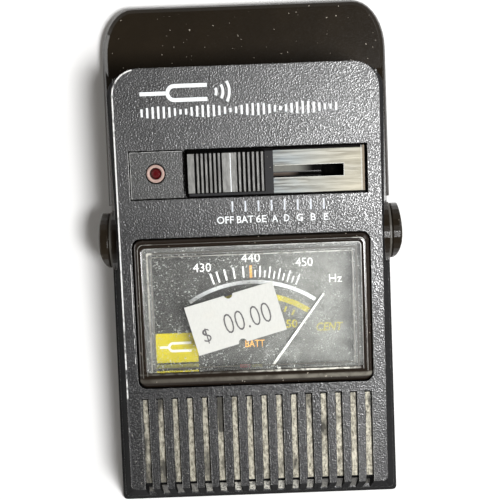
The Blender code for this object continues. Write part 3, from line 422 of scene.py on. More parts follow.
def slot_paint(name, color, start, end):
    """What lies behind the switch's slot, fading into painted shadow from one x to another."""
    f = Finish(name, color, 0.5)
    wear = f.noise(0.8 * MM, 3.0, 0.6)
    base = f.mix(f.span(wear, 0.4, 0.75, 0.0, 0.3), color, scaled(color, 0.5))
    # Painted shadow of the slot's right end: black and without a sheen past the end x.
    f.put("Base Color", f.mix(f.span(f.axis(0), start, end), base, tone(4, 4, 4)))
    f.put("Specular IOR Level", f.span(f.axis(0), start, end, 0.5, 0.02))
    f.bump(wear, 0.01 * MM)
    return f.mat


def dial_coat(name, color):
    """Matt dark paint of the dial, mottled, and lighter towards the right as a painted reflection."""
    f = Finish(name, color, 0.62)
    mottle = f.noise(2.4 * MM, 5.0, 0.7)
    base = f.mix(f.span(mottle, 0.32, 0.68), scaled(color, 0.5), scaled(color, 1.9))
    f.put("Specular IOR Level", 0.2)
    # Painted reflection: the dial grows lighter towards the right.
    painted_glare = f.times(f.span(f.axis(0), -12 * MM, 24 * MM, 0.0, 0.8), f.span(mottle, 0.25, 0.6, 0.5, 1.0))
    base = f.mix(painted_glare, base, tone(112, 113, 108))
    specks = f.span(f.noise(0.5 * MM, 1.0), 0.68, 0.73, 0.0, 0.6)
    f.put("Base Color", f.mix(specks, base, tone(176, 176, 170)))
    f.bump(mottle, 0.02 * MM)
    return f.mat


def paper(name, color):
    """Matt paper with fibres across it and faint dirt."""
    f = Finish(name, color, 0.75)
    fibres = f.noise(0.45 * MM, 4.0, 0.7, (1.0, 0.45, 1.0))
    grime_and_shade = f.noise(6 * MM, 3.0)
    base = f.mix(f.span(fibres, 0.3, 0.7), scaled(color, 0.93), color)
    f.put("Base Color", f.mix(f.span(grime_and_shade, 0.55, 0.8, 0.0, 0.3), base, tone(214, 208, 196)))
    f.bump(fibres, 0.02 * MM)
    return f.mat


def lint(name):
    """Settled dust: warm grey, matted, darker in patches, and darker towards the left in painted shade."""
    f = Finish(name, tone(150, 145, 130), 0.95)
    fluff = f.noise(0.5 * MM, 5.0, 0.7, (1.0, 0.5, 1.0))
    patches = f.noise(4.5 * MM, 3.0, 0.6, (1.0, 0.4, 1.0))
    base = f.mix(f.span(fluff, 0.3, 0.68), tone(104, 99, 86), tone(232, 227, 208))
    x = f.axis(0)
    # Painted shade: the dust darkens towards the left.
    base = f.mix(f.span(x, -28 * MM, 24 * MM, 0.35, 0.0), base, tone(74, 71, 64))
    # Bare patches: more of them at the left, and the upper part of the sixth groove.
    bare = f.math("ADD", patches, f.span(x, -27.5 * MM, -18 * MM, 0.16, 0.0))
    scraped = f.times(f.span(x, -9.4 * MM, -9.2 * MM, 0.0, 0.2), f.span(x, -7.8 * MM, -7.6 * MM, 1.0, 0.0),
                      f.span(f.axis(1), -41.5 * MM, -40.5 * MM))
    bare = f.math("ADD", bare, scraped)
    f.put("Base Color", f.mix(f.span(bare, 0.54, 0.7, 0.0, 0.9), base, tone(54, 53, 50)))
    f.bump(fluff, 0.08 * MM)
    return f.mat


def end_dust_and_light(name):
    """Dust on the grooves' sloping ends, streaked, with a painted patch of light, brightest in the middle
    of the row.
    """
    f = Finish(name, tone(200, 197, 184), 0.6)
    streaks = f.noise(0.5 * MM, 3.0, 0.6, (1.0, 0.35, 0.35))
    off = f.math("ABSOLUTE", f.axis(0))
    amount = f.times(f.span(off, 3 * MM, 20 * MM, 1.0, 0.12), f.span(streaks, 0.38, 0.58, 0.15, 1.0))
    f.put("Base Color", f.mix(amount, tone(48, 45, 40), tone(214, 212, 200)))
    f.bump(streaks, 0.03 * MM)
    return f.mat


def clear_plastic(name, tint, roughness, dust_tone, haze):
    """Clear plastic that lets lamp light through, with specks of dust and a veil of dust that thickens
    towards the right as a painted reflection.
    """
    f = Finish(name, tint, roughness)
    f.put("Transmission Weight", 1.0)
    f.put("IOR", 1.49)
    f.put("Coat Weight", 0.22)
    f.put("Coat Roughness", 0.33)
    f.put("Coat IOR", 1.7)
    smears = f.noise(5 * MM, 6.0, 0.7)
    grit = f.noise(0.5 * MM, 2.0, 0.6)
    f.put("Roughness", f.span(smears, 0.4, 0.75, roughness, roughness + 0.05))
    grime_and_shade = f.node("ShaderNodeBsdfPrincipled")
    grime_and_shade.inputs["Base Color"].default_value = (*dust_tone, 1.0)
    grime_and_shade.inputs["Roughness"].default_value = 0.9
    # A veil of dust, made thicker towards the right as a painted reflection.
    veil_and_glare = f.times(f.span(smears, 0.4, 0.64, 0.15, 1.0),
                   f.span(f.axis(0), -20 * MM, 22 * MM, haze * 0.15, haze))
    specks = f.times(f.span(grit, 0.6, 0.68, 0.0, 0.75), f.span(smears, 0.4, 0.56, 0.15, 1.0))
    lamp = f.node("ShaderNodeLightPath").outputs["Is Shadow Ray"]
    clear = f.mix_shaders(lamp, f.shader, f.node("ShaderNodeBsdfTransparent"))
    dusty = f.mix_shaders(f.most(specks, veil_and_glare), clear, grime_and_shade)
    f.join(f.out.inputs["Surface"], dusty.outputs[0])
    return f.mat


def circuit_board_mat(name):
    """Brown laminate with lighter cells where copper lies under the lacquer."""
    f = Finish(name, tone(120, 92, 48), 0.5)
    tracks = f.cells(2.6 * MM)
    f.put("Base Color", f.mix(f.span(tracks, 0.28, 0.34), tone(150, 118, 60), tone(104, 80, 40)))
    f.bump(tracks, 0.03 * MM)
    return f.mat


# ---- shapes ----
def loft(bm, rings, closed=False):
    """Join rings of equally many points; capped at the ends, or joined round if closed."""
    loops = [[bm.verts.new(p) for p in ring] for ring in rings]
    pairs = list(zip(loops, loops[1:]))
    if closed:
        pairs.append((loops[-1], loops[0]))
    count = len(loops[0])
    for low, high in pairs:
        for i in range(count):
            j = (i + 1) % count
            bm.faces.new((low[i], low[j], high[j], high[i]))
    if not closed:
        bm.faces.new(list(reversed(loops[0])))
        bm.faces.new(loops[-1])


def prism(bm, outline, z0, z1):
    """Add an outline of points (x, y) as a solid between two heights."""
    loft(bm, [[(x, y, z) for x, y in outline] for z in (z0, z1)])


def box(bm, x0, x1, y0, y1, z0, z1):
    prism(bm, ((x0, y0), (x1, y0), (x1, y1), (x0, y1)), z0, z1)


def arc(cx, cy, radius, start, end, steps):
    """Points along an arc; angles in degrees from +X."""
    return [(cx + radius * cos(radians(start + (end - start) * i / steps)),
             cy + radius * sin(radians(start + (end - start) * i / steps))) for i in range(steps + 1)]


CORNER_STEPS = 6


def rounded(x0, x1, y0, y1, radius):
    """Rectangle with round corners, from the lower right corner anticlockwise."""
    return (arc(x1 - radius, y0 + radius, radius, -90, 0, CORNER_STEPS)
            + arc(x1 - radius, y1 - radius, radius, 0, 90, CORNER_STEPS)
            + arc(x0 + radius, y1 - radius, radius, 90, 180, CORNER_STEPS)
            + arc(x0 + radius, y0 + radius, radius, 180, 270, CORNER_STEPS))


def band(cx, cy, inner, outer, start, end, steps):
    """Outline of a curved band; angles in degrees from +X."""
    return arc(cx, cy, outer, start, end, steps) + arc(cx, cy, inner, end, start, steps)


def piece(name, bm, mat, body="case", place=PANEL, smooth=35.0):
    """Turn a bmesh into a piece that rides on a CAD body; edges over smooth degrees stay sharp."""
    bmesh.ops.remove_doubles(bm, verts=bm.verts, dist=1e-8)
    bmesh.ops.recalc_face_normals(bm, faces=bm.faces)
    if place is not None:
        bm.transform(place)
    mesh = bpy.data.meshes.new(name)
    bm.to_mesh(mesh)
    bm.free()
    mesh.materials.append(mat)
    mesh.shade_smooth()
    mesh.set_sharp_from_angle(angle=radians(smooth))
    obj = bpy.data.objects.new(name, mesh)
    bpy.context.scene.collection.objects.link(obj)
    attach(obj, body)
    return obj


def box_piece(name, mat, *rows, body="case"):
    """Piece made of boxes (x0, x1, y0, y1, z0, z1)."""
    bm = bmesh.new()
    for row in rows:
        box(bm, *row)
    piece(name, bm, mat, body=body)


FONT_CAP = 0.69  # a capital's height in the built-in font at size 1


def text_mesh(bm, words, x, y, height, z0, z1, width, slant=0.0, thin=0.0):
    """Add words as solid letters round a middle point; height is a capital's, width the whole word's."""
    curve = bpy.data.curves.new("words", "FONT")
    curve.body = words
    curve.extrude = 0.05
    curve.shear = slant
    curve.resolution_u = 3
    obj = bpy.data.objects.new("words", curve)
    bpy.context.scene.collection.objects.link(obj)
    bpy.context.view_layer.update()
    xs = [corner[0] for corner in obj.bound_box]
    curve.offset = -thin
    graph = bpy.context.evaluated_depsgraph_get()
    mesh = bpy.data.meshes.new_from_object(obj.evaluated_get(graph))
    scale_x = width / (max(xs) - min(xs))
    scale_y = height / FONT_CAP
    shift = (max(xs) + min(xs)) / 2
    for v in mesh.vertices:
        v.co = (x + (v.co.x - shift) * scale_x, y + (v.co.y - FONT_CAP / 2) * scale_y,
                z0 if v.co.z < 0 else z1)
    bm.from_mesh(mesh)
    bpy.data.objects.remove(obj)
    bpy.data.curves.remove(curve)
    bpy.data.meshes.remove(mesh)


# ---- finishes ----
CHARCOAL = textured_plastic("charcoal_grain", tone(33, 33, 35), 0.3)
PLATE_GRAIN = textured_plastic("plate_grain", tone(34, 35, 33), 0.36, 0.34 * MM)
BROWN = smooth_plastic("brown_gloss", tone(31, 25, 17), 0.16, edge=0.3 * MM)
KNOB_GREY = ridged_plastic("knob_grey", tone(6, 6, 6), tone(121, 121, 118))
BLACK = smooth_plastic("black_satin", tone(20, 19, 18), 0.3, 0.2)
SHUTTER = smooth_plastic("shutter_grey", tone(34, 34, 36), 0.45, 0.3, grime_and_shade=True)
SILVER = brushed_metal("silver_satin", tone(143, 146, 143), 0.5)
STEEL = plain_metal("steel_plate", tone(190, 190, 188), 0.28)
BRASS = plain_metal("brass", tone(205, 165, 90), 0.3)
COPPER = plain_metal("copper", tone(190, 112, 70), 0.35)
NYLON = smooth_plastic("nylon", tone(84, 81, 75), 0.45, 0.2)
WHITE_INK = paint("white_ink", tone(236, 240, 242), 0.5, 0.15)
TICK_INK = paint("tick_ink", tone(214, 219, 226), 0.5, 0.6)
DIAL_WHITE = paint("dial_white", tone(232, 232, 230), 0.5, 0.25)
DIAL_ARC = paint("dial_arc", tone(200, 201, 202), 0.5, 0.2)
YELLOW_INK = paint("yellow_ink", tone(160, 148, 0), 0.8, 0.1, 0.2)
ORANGE_INK = paint("orange_ink", tone(216, 150, 6), 0.5, 0.2)
RED_INK = paint("red_ink", tone(150, 50, 58), 0.5, 0.3)
PALE_INK = paint("pale_ink", tone(196, 194, 186), 0.5, 0.3)
OLIVE_INK = paint("olive_ink", tone(120, 116, 40), 0.5, 0.3)
GREY_INK = paint("grey_ink", tone(92, 90, 92), 0.6, 0.3)
DIAL = dial_coat("dial_paint", tone(30, 30, 28))
NEEDLE = paint("needle_white", tone(238, 238, 230), 0.45, 0.1)
PAPER = paper("label_paper", tone(214, 215, 210))
DUST = lint("groove_dust")
END_DUST_LIGHT = end_dust_and_light("lit_dust_film")
LENS = clear_plastic("lens_acrylic", (0.97, 0.98, 0.97), 0.03, tone(188, 191, 186), 0.2)
RIM = rim_plastic("window_rim", tone(34, 27, 21))
GLINT_OUTER = lens_edge_highlight("glint_outer", tone(52, 48, 42), tone(196, 196, 190), (0.4, 0.9, 0.1, 0.1))
GLINT_MIDDLE = lens_edge_highlight("glint_middle", tone(60, 57, 52), tone(205, 206, 202), (0.45, 0.6, 0.9, 0.1))
GLINT_THICK = lens_edge_highlight("glint_thick", tone(74, 72, 66), tone(212, 210, 200), (0.75, 0.05, 0.0, 0.1))
GLINT_INNER = lens_edge_highlight("glint_inner", tone(84, 80, 70), tone(214, 214, 208), (0.25, 0.8, 1.0, 0.9))
SURROUND = mask_paint("dial_surround", tone(74, 74, 72), tone(24, 19, 15))
SLOT_BAR = slot_paint("slot_bar", tone(104, 104, 95), 11.0 * MM, 15.5 * MM)
SHADE_BLACK = matt_black("slot_shade")
SLOT_STRIP = slot_paint("slot_strip", tone(84, 64, 46), 9.0 * MM, 12.5 * MM)
PLATE_END_STRIP = paint("plate_end_strip", tone(120, 104, 80), 0.5, 0.4)
RIM_LIGHT = paint("slot_edge_highlight", tone(196, 196, 188), 0.4, 0.6)
EDGE_HIGHLIGHT = edge_highlight("edge_highlight", tone(60, 60, 62), tone(236, 236, 234))
BEZEL = paint("bezel_pink", tone(196, 168, 158), 0.3, 0.35)
RED_LAMP = smooth_plastic("red_lamp", tone(78, 8, 14), 0.06, 0.1)
RUBBER = textured_plastic("rubber", tone(30, 30, 30), 0.8, 0.6 * MM)
SLEEVE = smooth_plastic("sleeve", tone(40, 62, 110), 0.3, 0.1)
BOARD = circuit_board_mat("board_laminate")

NODE_FINISH = {
    CHARCOAL: ("front_shell", "rear_shell", "battery_door"),
    BROWN: ("tilt_stand", "pivot_plug_left", "pivot_plug_right"),
    NYLON: ("pivot_washer_left", "pivot_washer_right"),
    PLATE_GRAIN: ("led_plate",),
    BEZEL: ("led_bezel",),
    RED_LAMP: ("power_led",),
    SILVER: ("switch_cover_plate",),
    KNOB_GREY: ("slider_knob",),
    SHUTTER: ("slider_shutter",),
    BLACK: ("slide_switch_body", "meter_case", "tuner_chip", "amplifier_chip", "input_jack",
            "output_jack"),
    LENS: ("meter_lens",),
    DIAL: ("meter_dial",),
    STEEL: ("magnet_yoke", "magnet_core", "needle_staff", "quartz_crystal", "microphone",
            "battery_contact_1", "battery_contact_2", "battery_spring_1", "battery_spring_2",
            "case_screw_1", "case_screw_2", "case_screw_3", "case_screw_4"),
    BRASS: ("switch_contact", "meter_bridge", "hairspring"),
    COPPER: ("moving_coil",),
    NEEDLE: ("meter_needle",),
    PAPER: ("price_label",),
    BOARD: ("circuit_board",),
    SLEEVE: ("capacitor_1", "capacitor_2", "capacitor_3", "battery_cell_1", "battery_cell_2"),
    RUBBER: ("microphone_boot", "foot_left", "foot_right", "stand_pad_left", "stand_pad_right"),
}


def dress_cad_nodes():
    for mat, names in NODE_FINISH.items():
        for name in names:
            slots = NODES[name].data.materials
            slots.clear()
            slots.append(mat)


# ---- what is printed on the panel ----
INK = (0.0, 0.03 * MM)
TICKS = 8
TICKS_X = (-3.95 * MM, 17.25 * MM)
TICKS_Y = (11.4 * MM, 13.9 * MM)
TICK_HALF = 0.2 * MM
# (word, its middle, its width), in mm
LABELS = (("OFF", -5.7, 3.85), ("BAT", -1.1, 3.8), ("6E", 2.65, 2.35), ("A", 5.8, 1.35),
          ("D", 8.55, 1.15), ("G", 11.6, 1.4), ("B", 14.7, 1.15), ("E", 17.7, 1.05))
LABEL_Y = 9.62 * MM
LABEL_CAP = 1.6 * MM


def panel_print():
    """Ticks and words of the slide switch."""
    ticks = bmesh.new()
    for i in range(TICKS):
        x = TICKS_X[0] + (TICKS_X[1] - TICKS_X[0]) * i / (TICKS - 1)
        box(ticks, x - TICK_HALF, x + TICK_HALF, *TICKS_Y, *INK)
    piece("switch_ticks", ticks, TICK_INK)
    words = bmesh.new()
    for word, x, width in LABELS:
        text_mesh(words, word, x * MM, LABEL_Y, LABEL_CAP, *INK, width=width * MM, thin=-0.012)
    piece("switch_words", words, WHITE_INK)


def edge_line(bm, points, width):
    """Thin strip beside a line of points, laid on its right-hand side."""
    points = [Vector(p) for p in points]
    inner = []
    for i, p in enumerate(points):
        along = points[min(i + 1, len(points) - 1)] - points[max(i - 1, 0)]
        inner.append(p + Vector((along.y, -along.x)).normalized() * width)
    prism(bm, [tuple(p) for p in points] + [tuple(p) for p in reversed(inner)], *INK)


PANEL_CORNER = (-24.7 * MM, 39.1 * MM, 5.93 * MM)
LAMP = (-21.4 * MM, 20.9 * MM)
# (x0, x1, y0, y1) on the lamp's plate, in mm: painted highlight lines, then painted shade in its gaps
PLATE_HIGHLIGHTS = ((-27.2, -15.3, 25.9, 25.95), (-27.2, -27.15, 15.3, 25.88))
PLATE_GAP_SHADE = ((-27.5, -27.27, 14.9, 26.25), (-27.3, -15.1, 14.9, 15.1), (-27.3, -15.1, 26.05, 26.28))


def flat_boxes(bm, rows, low, high):
    """Boxes between two heights from rows (x0, x1, y0, y1) in mm."""
    for row in rows:
        box(bm, *(side * MM for side in row), low, high)


def edge_highlights_and_shade():
    """Painted highlight lines on the edges of the panel and the lamp's plate; painted shade in the gaps
    round plate and lamp.
    """
    top = panel_box("led_plate")[5]
    layer = (top, top + 0.02 * MM)
    bm = bmesh.new()
    corner = arc(*PANEL_CORNER, 180, 100, 10)
    edge_line(bm, [(-30.63 * MM, y * MM) for y in range(-53, 39, 4)] + corner, 0.3 * MM)
    edge_line(bm, [(-28.25 * MM, y * MM) for y in range(-27, 1, 3)], 0.12 * MM)
    edge_line(bm, [(30.2 * MM, y * MM) for y in range(-52, -28, 4)], 0.16 * MM)
    flat_boxes(bm, PLATE_HIGHLIGHTS, *layer)
    piece("panel_edge_highlight", bm, EDGE_HIGHLIGHT)
    # Painted shade: a black ring round the lamp, and black strips in the gaps round its plate.
    shade = bmesh.new()
    for start in (0, 180):
        prism(shade, band(*LAMP, 2.12 * MM, 2.4 * MM, start, start + 180, 16), *layer)
    flat_boxes(shade, PLATE_GAP_SHADE, *layer)
    piece("shade_round_lamp", shade, SHADE_BLACK)


def fork_bend(bm, x, tip, y, inner, outer, layer):
    """A tuning fork's bend about (x, y), and its two prongs up to tip along X."""
    prism(bm, band(x, y, inner, outer, 90, 270, 12), *layer)
    for side in (-1, 1):
        box(bm, x, tip, *sorted((y + side * inner, y + side * outer)), *layer)


FORK_X, FORK_Y = -24.2 * MM, 39.24 * MM
BARS = 36
BARS_X = (-23.9 * MM, 20.7 * MM)
BARS_Y = 34.92 * MM


def heading_print():
    """A tuning fork with sound arcs, over a row of bars that swell like a wave."""
    fork = bmesh.new()
    box(fork, FORK_X, FORK_X + 6.2 * MM, FORK_Y - 0.45 * MM, FORK_Y + 0.45 * MM, *INK)
    fork_bend(fork, FORK_X + 8.0 * MM, FORK_X + 15.5 * MM, FORK_Y, 1.15 * MM, 2.05 * MM, INK)
    for i in range(3):
        radius = (1.6 + 1.5 * i) * MM
        wave = band(FORK_X + 16.0 * MM, FORK_Y, radius - 0.3 * MM, radius + 0.3 * MM, -30, 30, 10)
        prism(fork, wave, *INK)
    piece("heading_fork", fork, WHITE_INK)
    bars = bmesh.new()
    for i in range(BARS):
        t = i / (BARS - 1)
        half = (0.45 + 0.95 * abs(sin(pi * 4 * t + 0.5))) * MM
        cx = BARS_X[0] + (BARS_X[1] - BARS_X[0]) * t
        box(bars, cx - 0.25 * MM, cx + 0.25 * MM, BARS_Y - half, BARS_Y + half, *INK)
    piece("heading_bars", bars, WHITE_INK)


# ---- dial ----
DIAL_TOP = panel_box("meter_dial")[5]
CENTRE = (-0.35 * MM, -33.07 * MM)  # of the scales' arcs
PRINT = (DIAL_TOP + 0.005 * MM, DIAL_TOP + 0.04 * MM)
OVERPRINT = (DIAL_TOP + 0.045 * MM, DIAL_TOP + 0.07 * MM)
MARK_IN, MARK_OUT, MARK_SHORT = 28.1 * MM, 30.85 * MM, 29.85 * MM
LEFT_MARKS = (-3.3, -7.65, -11.7, -15.3, -18.15)
RIGHT_MARKS = 10
RIGHT_START, RIGHT_STEP = 2.2, 2.255
# (words, middle x and y, a capital's height, width), in mm
DIAL_WORDS = (("430", -11.84, -2.2, 2.05, 4.3), ("440", -0.2, -0.3, 2.05, 4.5),
              ("450", 12.5, -1.75, 2.05, 4.1), ("Hz", 19.9, -5.9, 2.0, 3.1))


def spoke(bm, angle, inner, outer, half):
    """A mark along a radius of the scales; angle in degrees clockwise from straight up."""
    c, s = cos(radians(angle)), sin(radians(angle))
    corners = ((-half, inner), (half, inner), (half, outer), (-half, outer))
    prism(bm, [(CENTRE[0] + x * c + y * s, CENTRE[1] - x * s + y * c) for x, y in corners], *PRINT)


def dial_print():
    """Scales, words and battery marks of the dial."""
    arc_bm = bmesh.new()
    prism(arc_bm, band(*CENTRE, 26.5 * MM, 27.4 * MM, 90 + 33.3, 90 - 34.55, 48), *PRINT)
    piece("dial_arc", arc_bm, DIAL_ARC)
    marks = bmesh.new()
    for angle in LEFT_MARKS:
        spoke(marks, angle, MARK_IN, MARK_OUT, 0.21 * MM)
    for i in range(RIGHT_MARKS):
        spoke(marks, RIGHT_START + RIGHT_STEP * i, MARK_IN, MARK_OUT if i % 2 else MARK_SHORT, 0.17 * MM)
    for word, x, y, cap, width in DIAL_WORDS:
        text_mesh(marks, word, x * MM, y * MM, cap * MM, *PRINT, width=width * MM)
    piece("dial_scale_hertz", marks, DIAL_WHITE)
    orange = bmesh.new()
    spoke(orange, 0.15, MARK_IN - 0.1 * MM, MARK_OUT + 0.1 * MM, 0.3 * MM)
    text_mesh(orange, "BATT", 0.1 * MM, -21.1 * MM, 1.7 * MM, *PRINT, width=4.6 * MM, thin=-0.005)
    piece("dial_marks_orange", orange, ORANGE_INK)
    yellow = bmesh.new()
    prism(yellow, band(*CENTRE, 23.15 * MM, 24.45 * MM, 90 + 34, 90 - 34.8, 40), *PRINT)
    for i in range(-5, 6):
        if i:
            spoke(yellow, 5.45 * i, 20.9 * MM, 22.3 * MM, 0.24 * MM)
    for side in (-1, 1):
        text_mesh(yellow, "50", 9.1 * side * MM, -16.6 * MM, 1.95 * MM, *PRINT, width=2.6 * MM, thin=-0.012)
    text_mesh(yellow, "CENT", 18.2 * MM, -17.6 * MM, 1.95 * MM, *PRINT, width=6.3 * MM,
              slant=0.2, thin=-0.014)
    piece("dial_scale_cent", yellow, YELLOW_INK)
    box_piece("dial_battery_zone", RED_INK, (-3.7 * MM, -1.2 * MM, -27.2 * MM, -26.2 * MM, *PRINT))
    box_piece("dial_battery_end", OLIVE_INK, (-0.9 * MM, 1.7 * MM, -27.2 * MM, -26.3 * MM, *PRINT))


def dial_emblem():
    """Yellow field with a plain tuning fork on it, and a darker foot and a rule below."""
    sides = (-23.75 * MM, -13.6 * MM)
    box_piece("emblem_field", YELLOW_INK, (*sides, -25.1 * MM, -17.9 * MM, *PRINT),
              (*sides, -27.95 * MM, -27.5 * MM, *PRINT))
    box_piece("emblem_foot", OLIVE_INK, (*sides, -26.6 * MM, -25.5 * MM, *PRINT))
    fork = bmesh.new()
    x, y = -19.6 * MM, -21.3 * MM
    box(fork, x - 3.2 * MM, x - 1.1 * MM, y - 0.3 * MM, y + 0.3 * MM, *OVERPRINT)
    fork_bend(fork, x, x + 4.4 * MM, y, 0.65 * MM, 1.25 * MM, OVERPRINT)
    piece("emblem_fork", fork, PALE_INK)


# ---- window ----
WINDOW_BOX = panel_box("meter_lens")
WINDOW_RADIUS = 1.9 * MM
# In mm: the width of the rim's rounding, and what its lower side has more.
RIM_WIDTH, RIM_LOW = 1.6, 1.5
PLATE_PROFILE = ((2.2, -0.75), (2.1, -0.75), (1.95, -0.6), (1.95, 0.55), (2.1, 0.7), (2.2, 0.7))
PLATE_LOW = 1.7
MASK_TOP, MASK_FOOT = -2.75, -4.3
# Thin lines of painted highlight on the clear plate and its rim.
# (name, inset, width, height, finish), in mm
GLINT_LINES = (("glint_outer", 1.0, 0.15, 0.66, GLINT_OUTER), ("glint_middle", 2.0, 0.17, 0.71, GLINT_MIDDLE),
              ("glint_thick", 3.0, 0.4, 0.71, GLINT_THICK), ("glint_inner", 3.95, 0.2, 0.71, GLINT_INNER))
# (name, outer inset, inner inset, what the inner edge's lower side is moved in, finish), in mm
MASKS = (("mask_rim", 0.1, 1.9, 0.0, BLACK), ("mask_face", 1.95, 4.0, -1.5, SURROUND))


def lens_ring(inset, z, low=0.0):
    """Rounded rectangle inside the window's edge, from mm; low moves its lower side in further."""
    x0, x1, y0, y1, _, _ = WINDOW_BOX
    inset = inset * MM
    radius = max(WINDOW_RADIUS - inset * 0.5, 0.5 * MM)
    outline = rounded(x0 + inset, x1 - inset, y0 + inset + low * MM, y1 - inset, radius)
    return [(x, y, z * MM) for x, y in outline]


def meter_window():
    """Clear plate in a dark glossy rim that is widest along its lower side, masks and lines of painted
    highlight.
    """
    plate = bmesh.new()
    loft(plate, [lens_ring(inset, z, PLATE_LOW) for inset, z in PLATE_PROFILE])
    cover = piece("meter_window", plate, LENS, smooth=20.0)
    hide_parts("meter_lens")
    rings = [(0.0, -2.4, 0.0), (0.0, -0.5, 0.0)]
    for i in range(1, 9):
        a = pi / 2 * i / 8
        rings.append((RIM_WIDTH * (1 - cos(a)), -0.5 + 1.2 * sin(a), RIM_LOW * i / 8))
    rings += [(1.9, z, PLATE_LOW) for z in (0.62, -0.9, -2.4)]
    rim = bmesh.new()
    loft(rim, [lens_ring(*spot) for spot in rings], closed=True)
    piece("window_rim", rim, RIM)
    for name, out, inside, low, mat in MASKS:
        ring = bmesh.new()
        spots = ((out, MASK_TOP, 0.0), (inside, MASK_TOP, low), (inside, MASK_FOOT, low),
                 (out, MASK_FOOT, 0.0))
        loft(ring, [lens_ring(*spot) for spot in spots], closed=True)
        piece(name, ring, mat)
    for name, inset, width, z, mat in GLINT_LINES:
        # Points 6 to 21 of a ring are its right side, its top end and its left side.
        outer, inner = [lens_ring(d, z)[6:22] for d in (inset, inset + width)]
        layer = ((z - 0.04) * MM, (z + 0.02) * MM)
        line = bmesh.new()
        prism(line, [(x, y) for x, y, _ in outer + inner[::-1]], *layer)
        if name == "glint_inner":
            (x0, y0, _), (x1, _, _) = inner[-1], inner[0]
            box(line, x0, x1, y0 - 0.1 * MM, y0 + 0.1 * MM, *layer)
        piece(name, line, mat)


# ---- price label ----
LABEL_HALF = (10.75 * MM, 6.0 * MM)
LABEL_NOTCH = 1.0 * MM
LABEL_THICK = 0.1 * MM
LABEL_INK = (0.2 * MM, 0.225 * MM)


def label_frame():
    """The label's own frame: on the window, turned as the CAD label is."""
    points = [FROM_PANEL @ v.co for v in NODES["price_label"].data.vertices]
    x0, x1, y0, y1, z0, _ = panel_box("price_label")
    right = max(points, key=lambda p: p.x)
    low = min(points, key=lambda p: p.y)
    turn = atan2(right.y - low.y, right.x - low.x)
    return Matrix.Translation(((x1 + x0) / 2, (y1 + y0) / 2, z0)) @ Matrix.Rotation(turn, 4, "Z")


def price_label():
    """Paper label with a notch in each long side, a little wavy, its upper right corner lifted."""
    half_x, half_y = LABEL_HALF
    columns = sorted({round(-half_x + 2 * half_x * i / 44, 7) for i in range(45)}
                     | {round(LABEL_NOTCH * cos(radians(a)), 7) for a in range(0, 181, 20)})
    rows = 24

    def height(x, y):
        wave = 0.05 * MM * (1 + noise.noise(Vector((x, y, 0.3)) * 180))
        lift = 0.22 * MM * max(0.0, (x / half_x + y / half_y) / 2 - 0.55) ** 1.5 / 0.3
        return wave + lift

    bm = bmesh.new()
    layers = []
    for thickness in (0.0, LABEL_THICK):
        grid = []
        for x in columns:
            bite = sqrt(max(LABEL_NOTCH ** 2 - x ** 2, 0.0))
            low, high = -half_y + bite, half_y - bite
            grid.append([bm.verts.new((x, low + (high - low) * j / rows,
                                       height(x, low + (high - low) * j / rows) + thickness))
                         for j in range(rows + 1)])
        layers.append(grid)
    low, high = layers
    last = len(columns) - 1
    for i in range(last):
        for j in range(rows):
            bm.faces.new((high[i][j], high[i + 1][j], high[i + 1][j + 1], high[i][j + 1]))
            bm.faces.new((low[i][j], low[i][j + 1], low[i + 1][j + 1], low[i + 1][j]))
        for j in (0, rows):
            bm.faces.new((low[i][j], low[i + 1][j], high[i + 1][j], high[i][j]))
    for j in range(rows):
        for i in (0, last):
            bm.faces.new((low[i][j], low[i][j + 1], high[i][j + 1], high[i][j]))
    spot = PANEL @ label_frame()
    sheet = piece("shop_label", bm, PAPER, place=spot)
    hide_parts("price_label")
    digits = bmesh.new()
    text_mesh(digits, "$", -7.6 * MM, -1.7 * MM, 3.3 * MM, *LABEL_INK, width=1.9 * MM, thin=0.012)
    text_mesh(digits, "00.00", 2.7 * MM, -0.6 * MM, 5.0 * MM, *LABEL_INK, width=11.4 * MM, thin=0.018)
    piece("label_digits", digits, GREY_INK, place=spot)


# ---- dust in the grille's grooves ----
GROOVES = 16
GROOVE_PITCH = 3.53 * MM
GROOVE_FLOOR = -1.2 * MM
GROOVE_Y = (-53.25 * MM, -32.75 * MM)
DUST_HALF = 0.7 * MM
DUST_LIFT = Vector((0.0, -0.04 * MM, 0.02 * MM))
# Where the shell's points at a groove's sloping end are: off its middle, below this y, and by height.
END_REACH, END_Y = 0.95 * MM, -50 * MM
END_LOW, END_HEEL, END_HIGH = 8 * MM, 16 * MM, 19 * MM


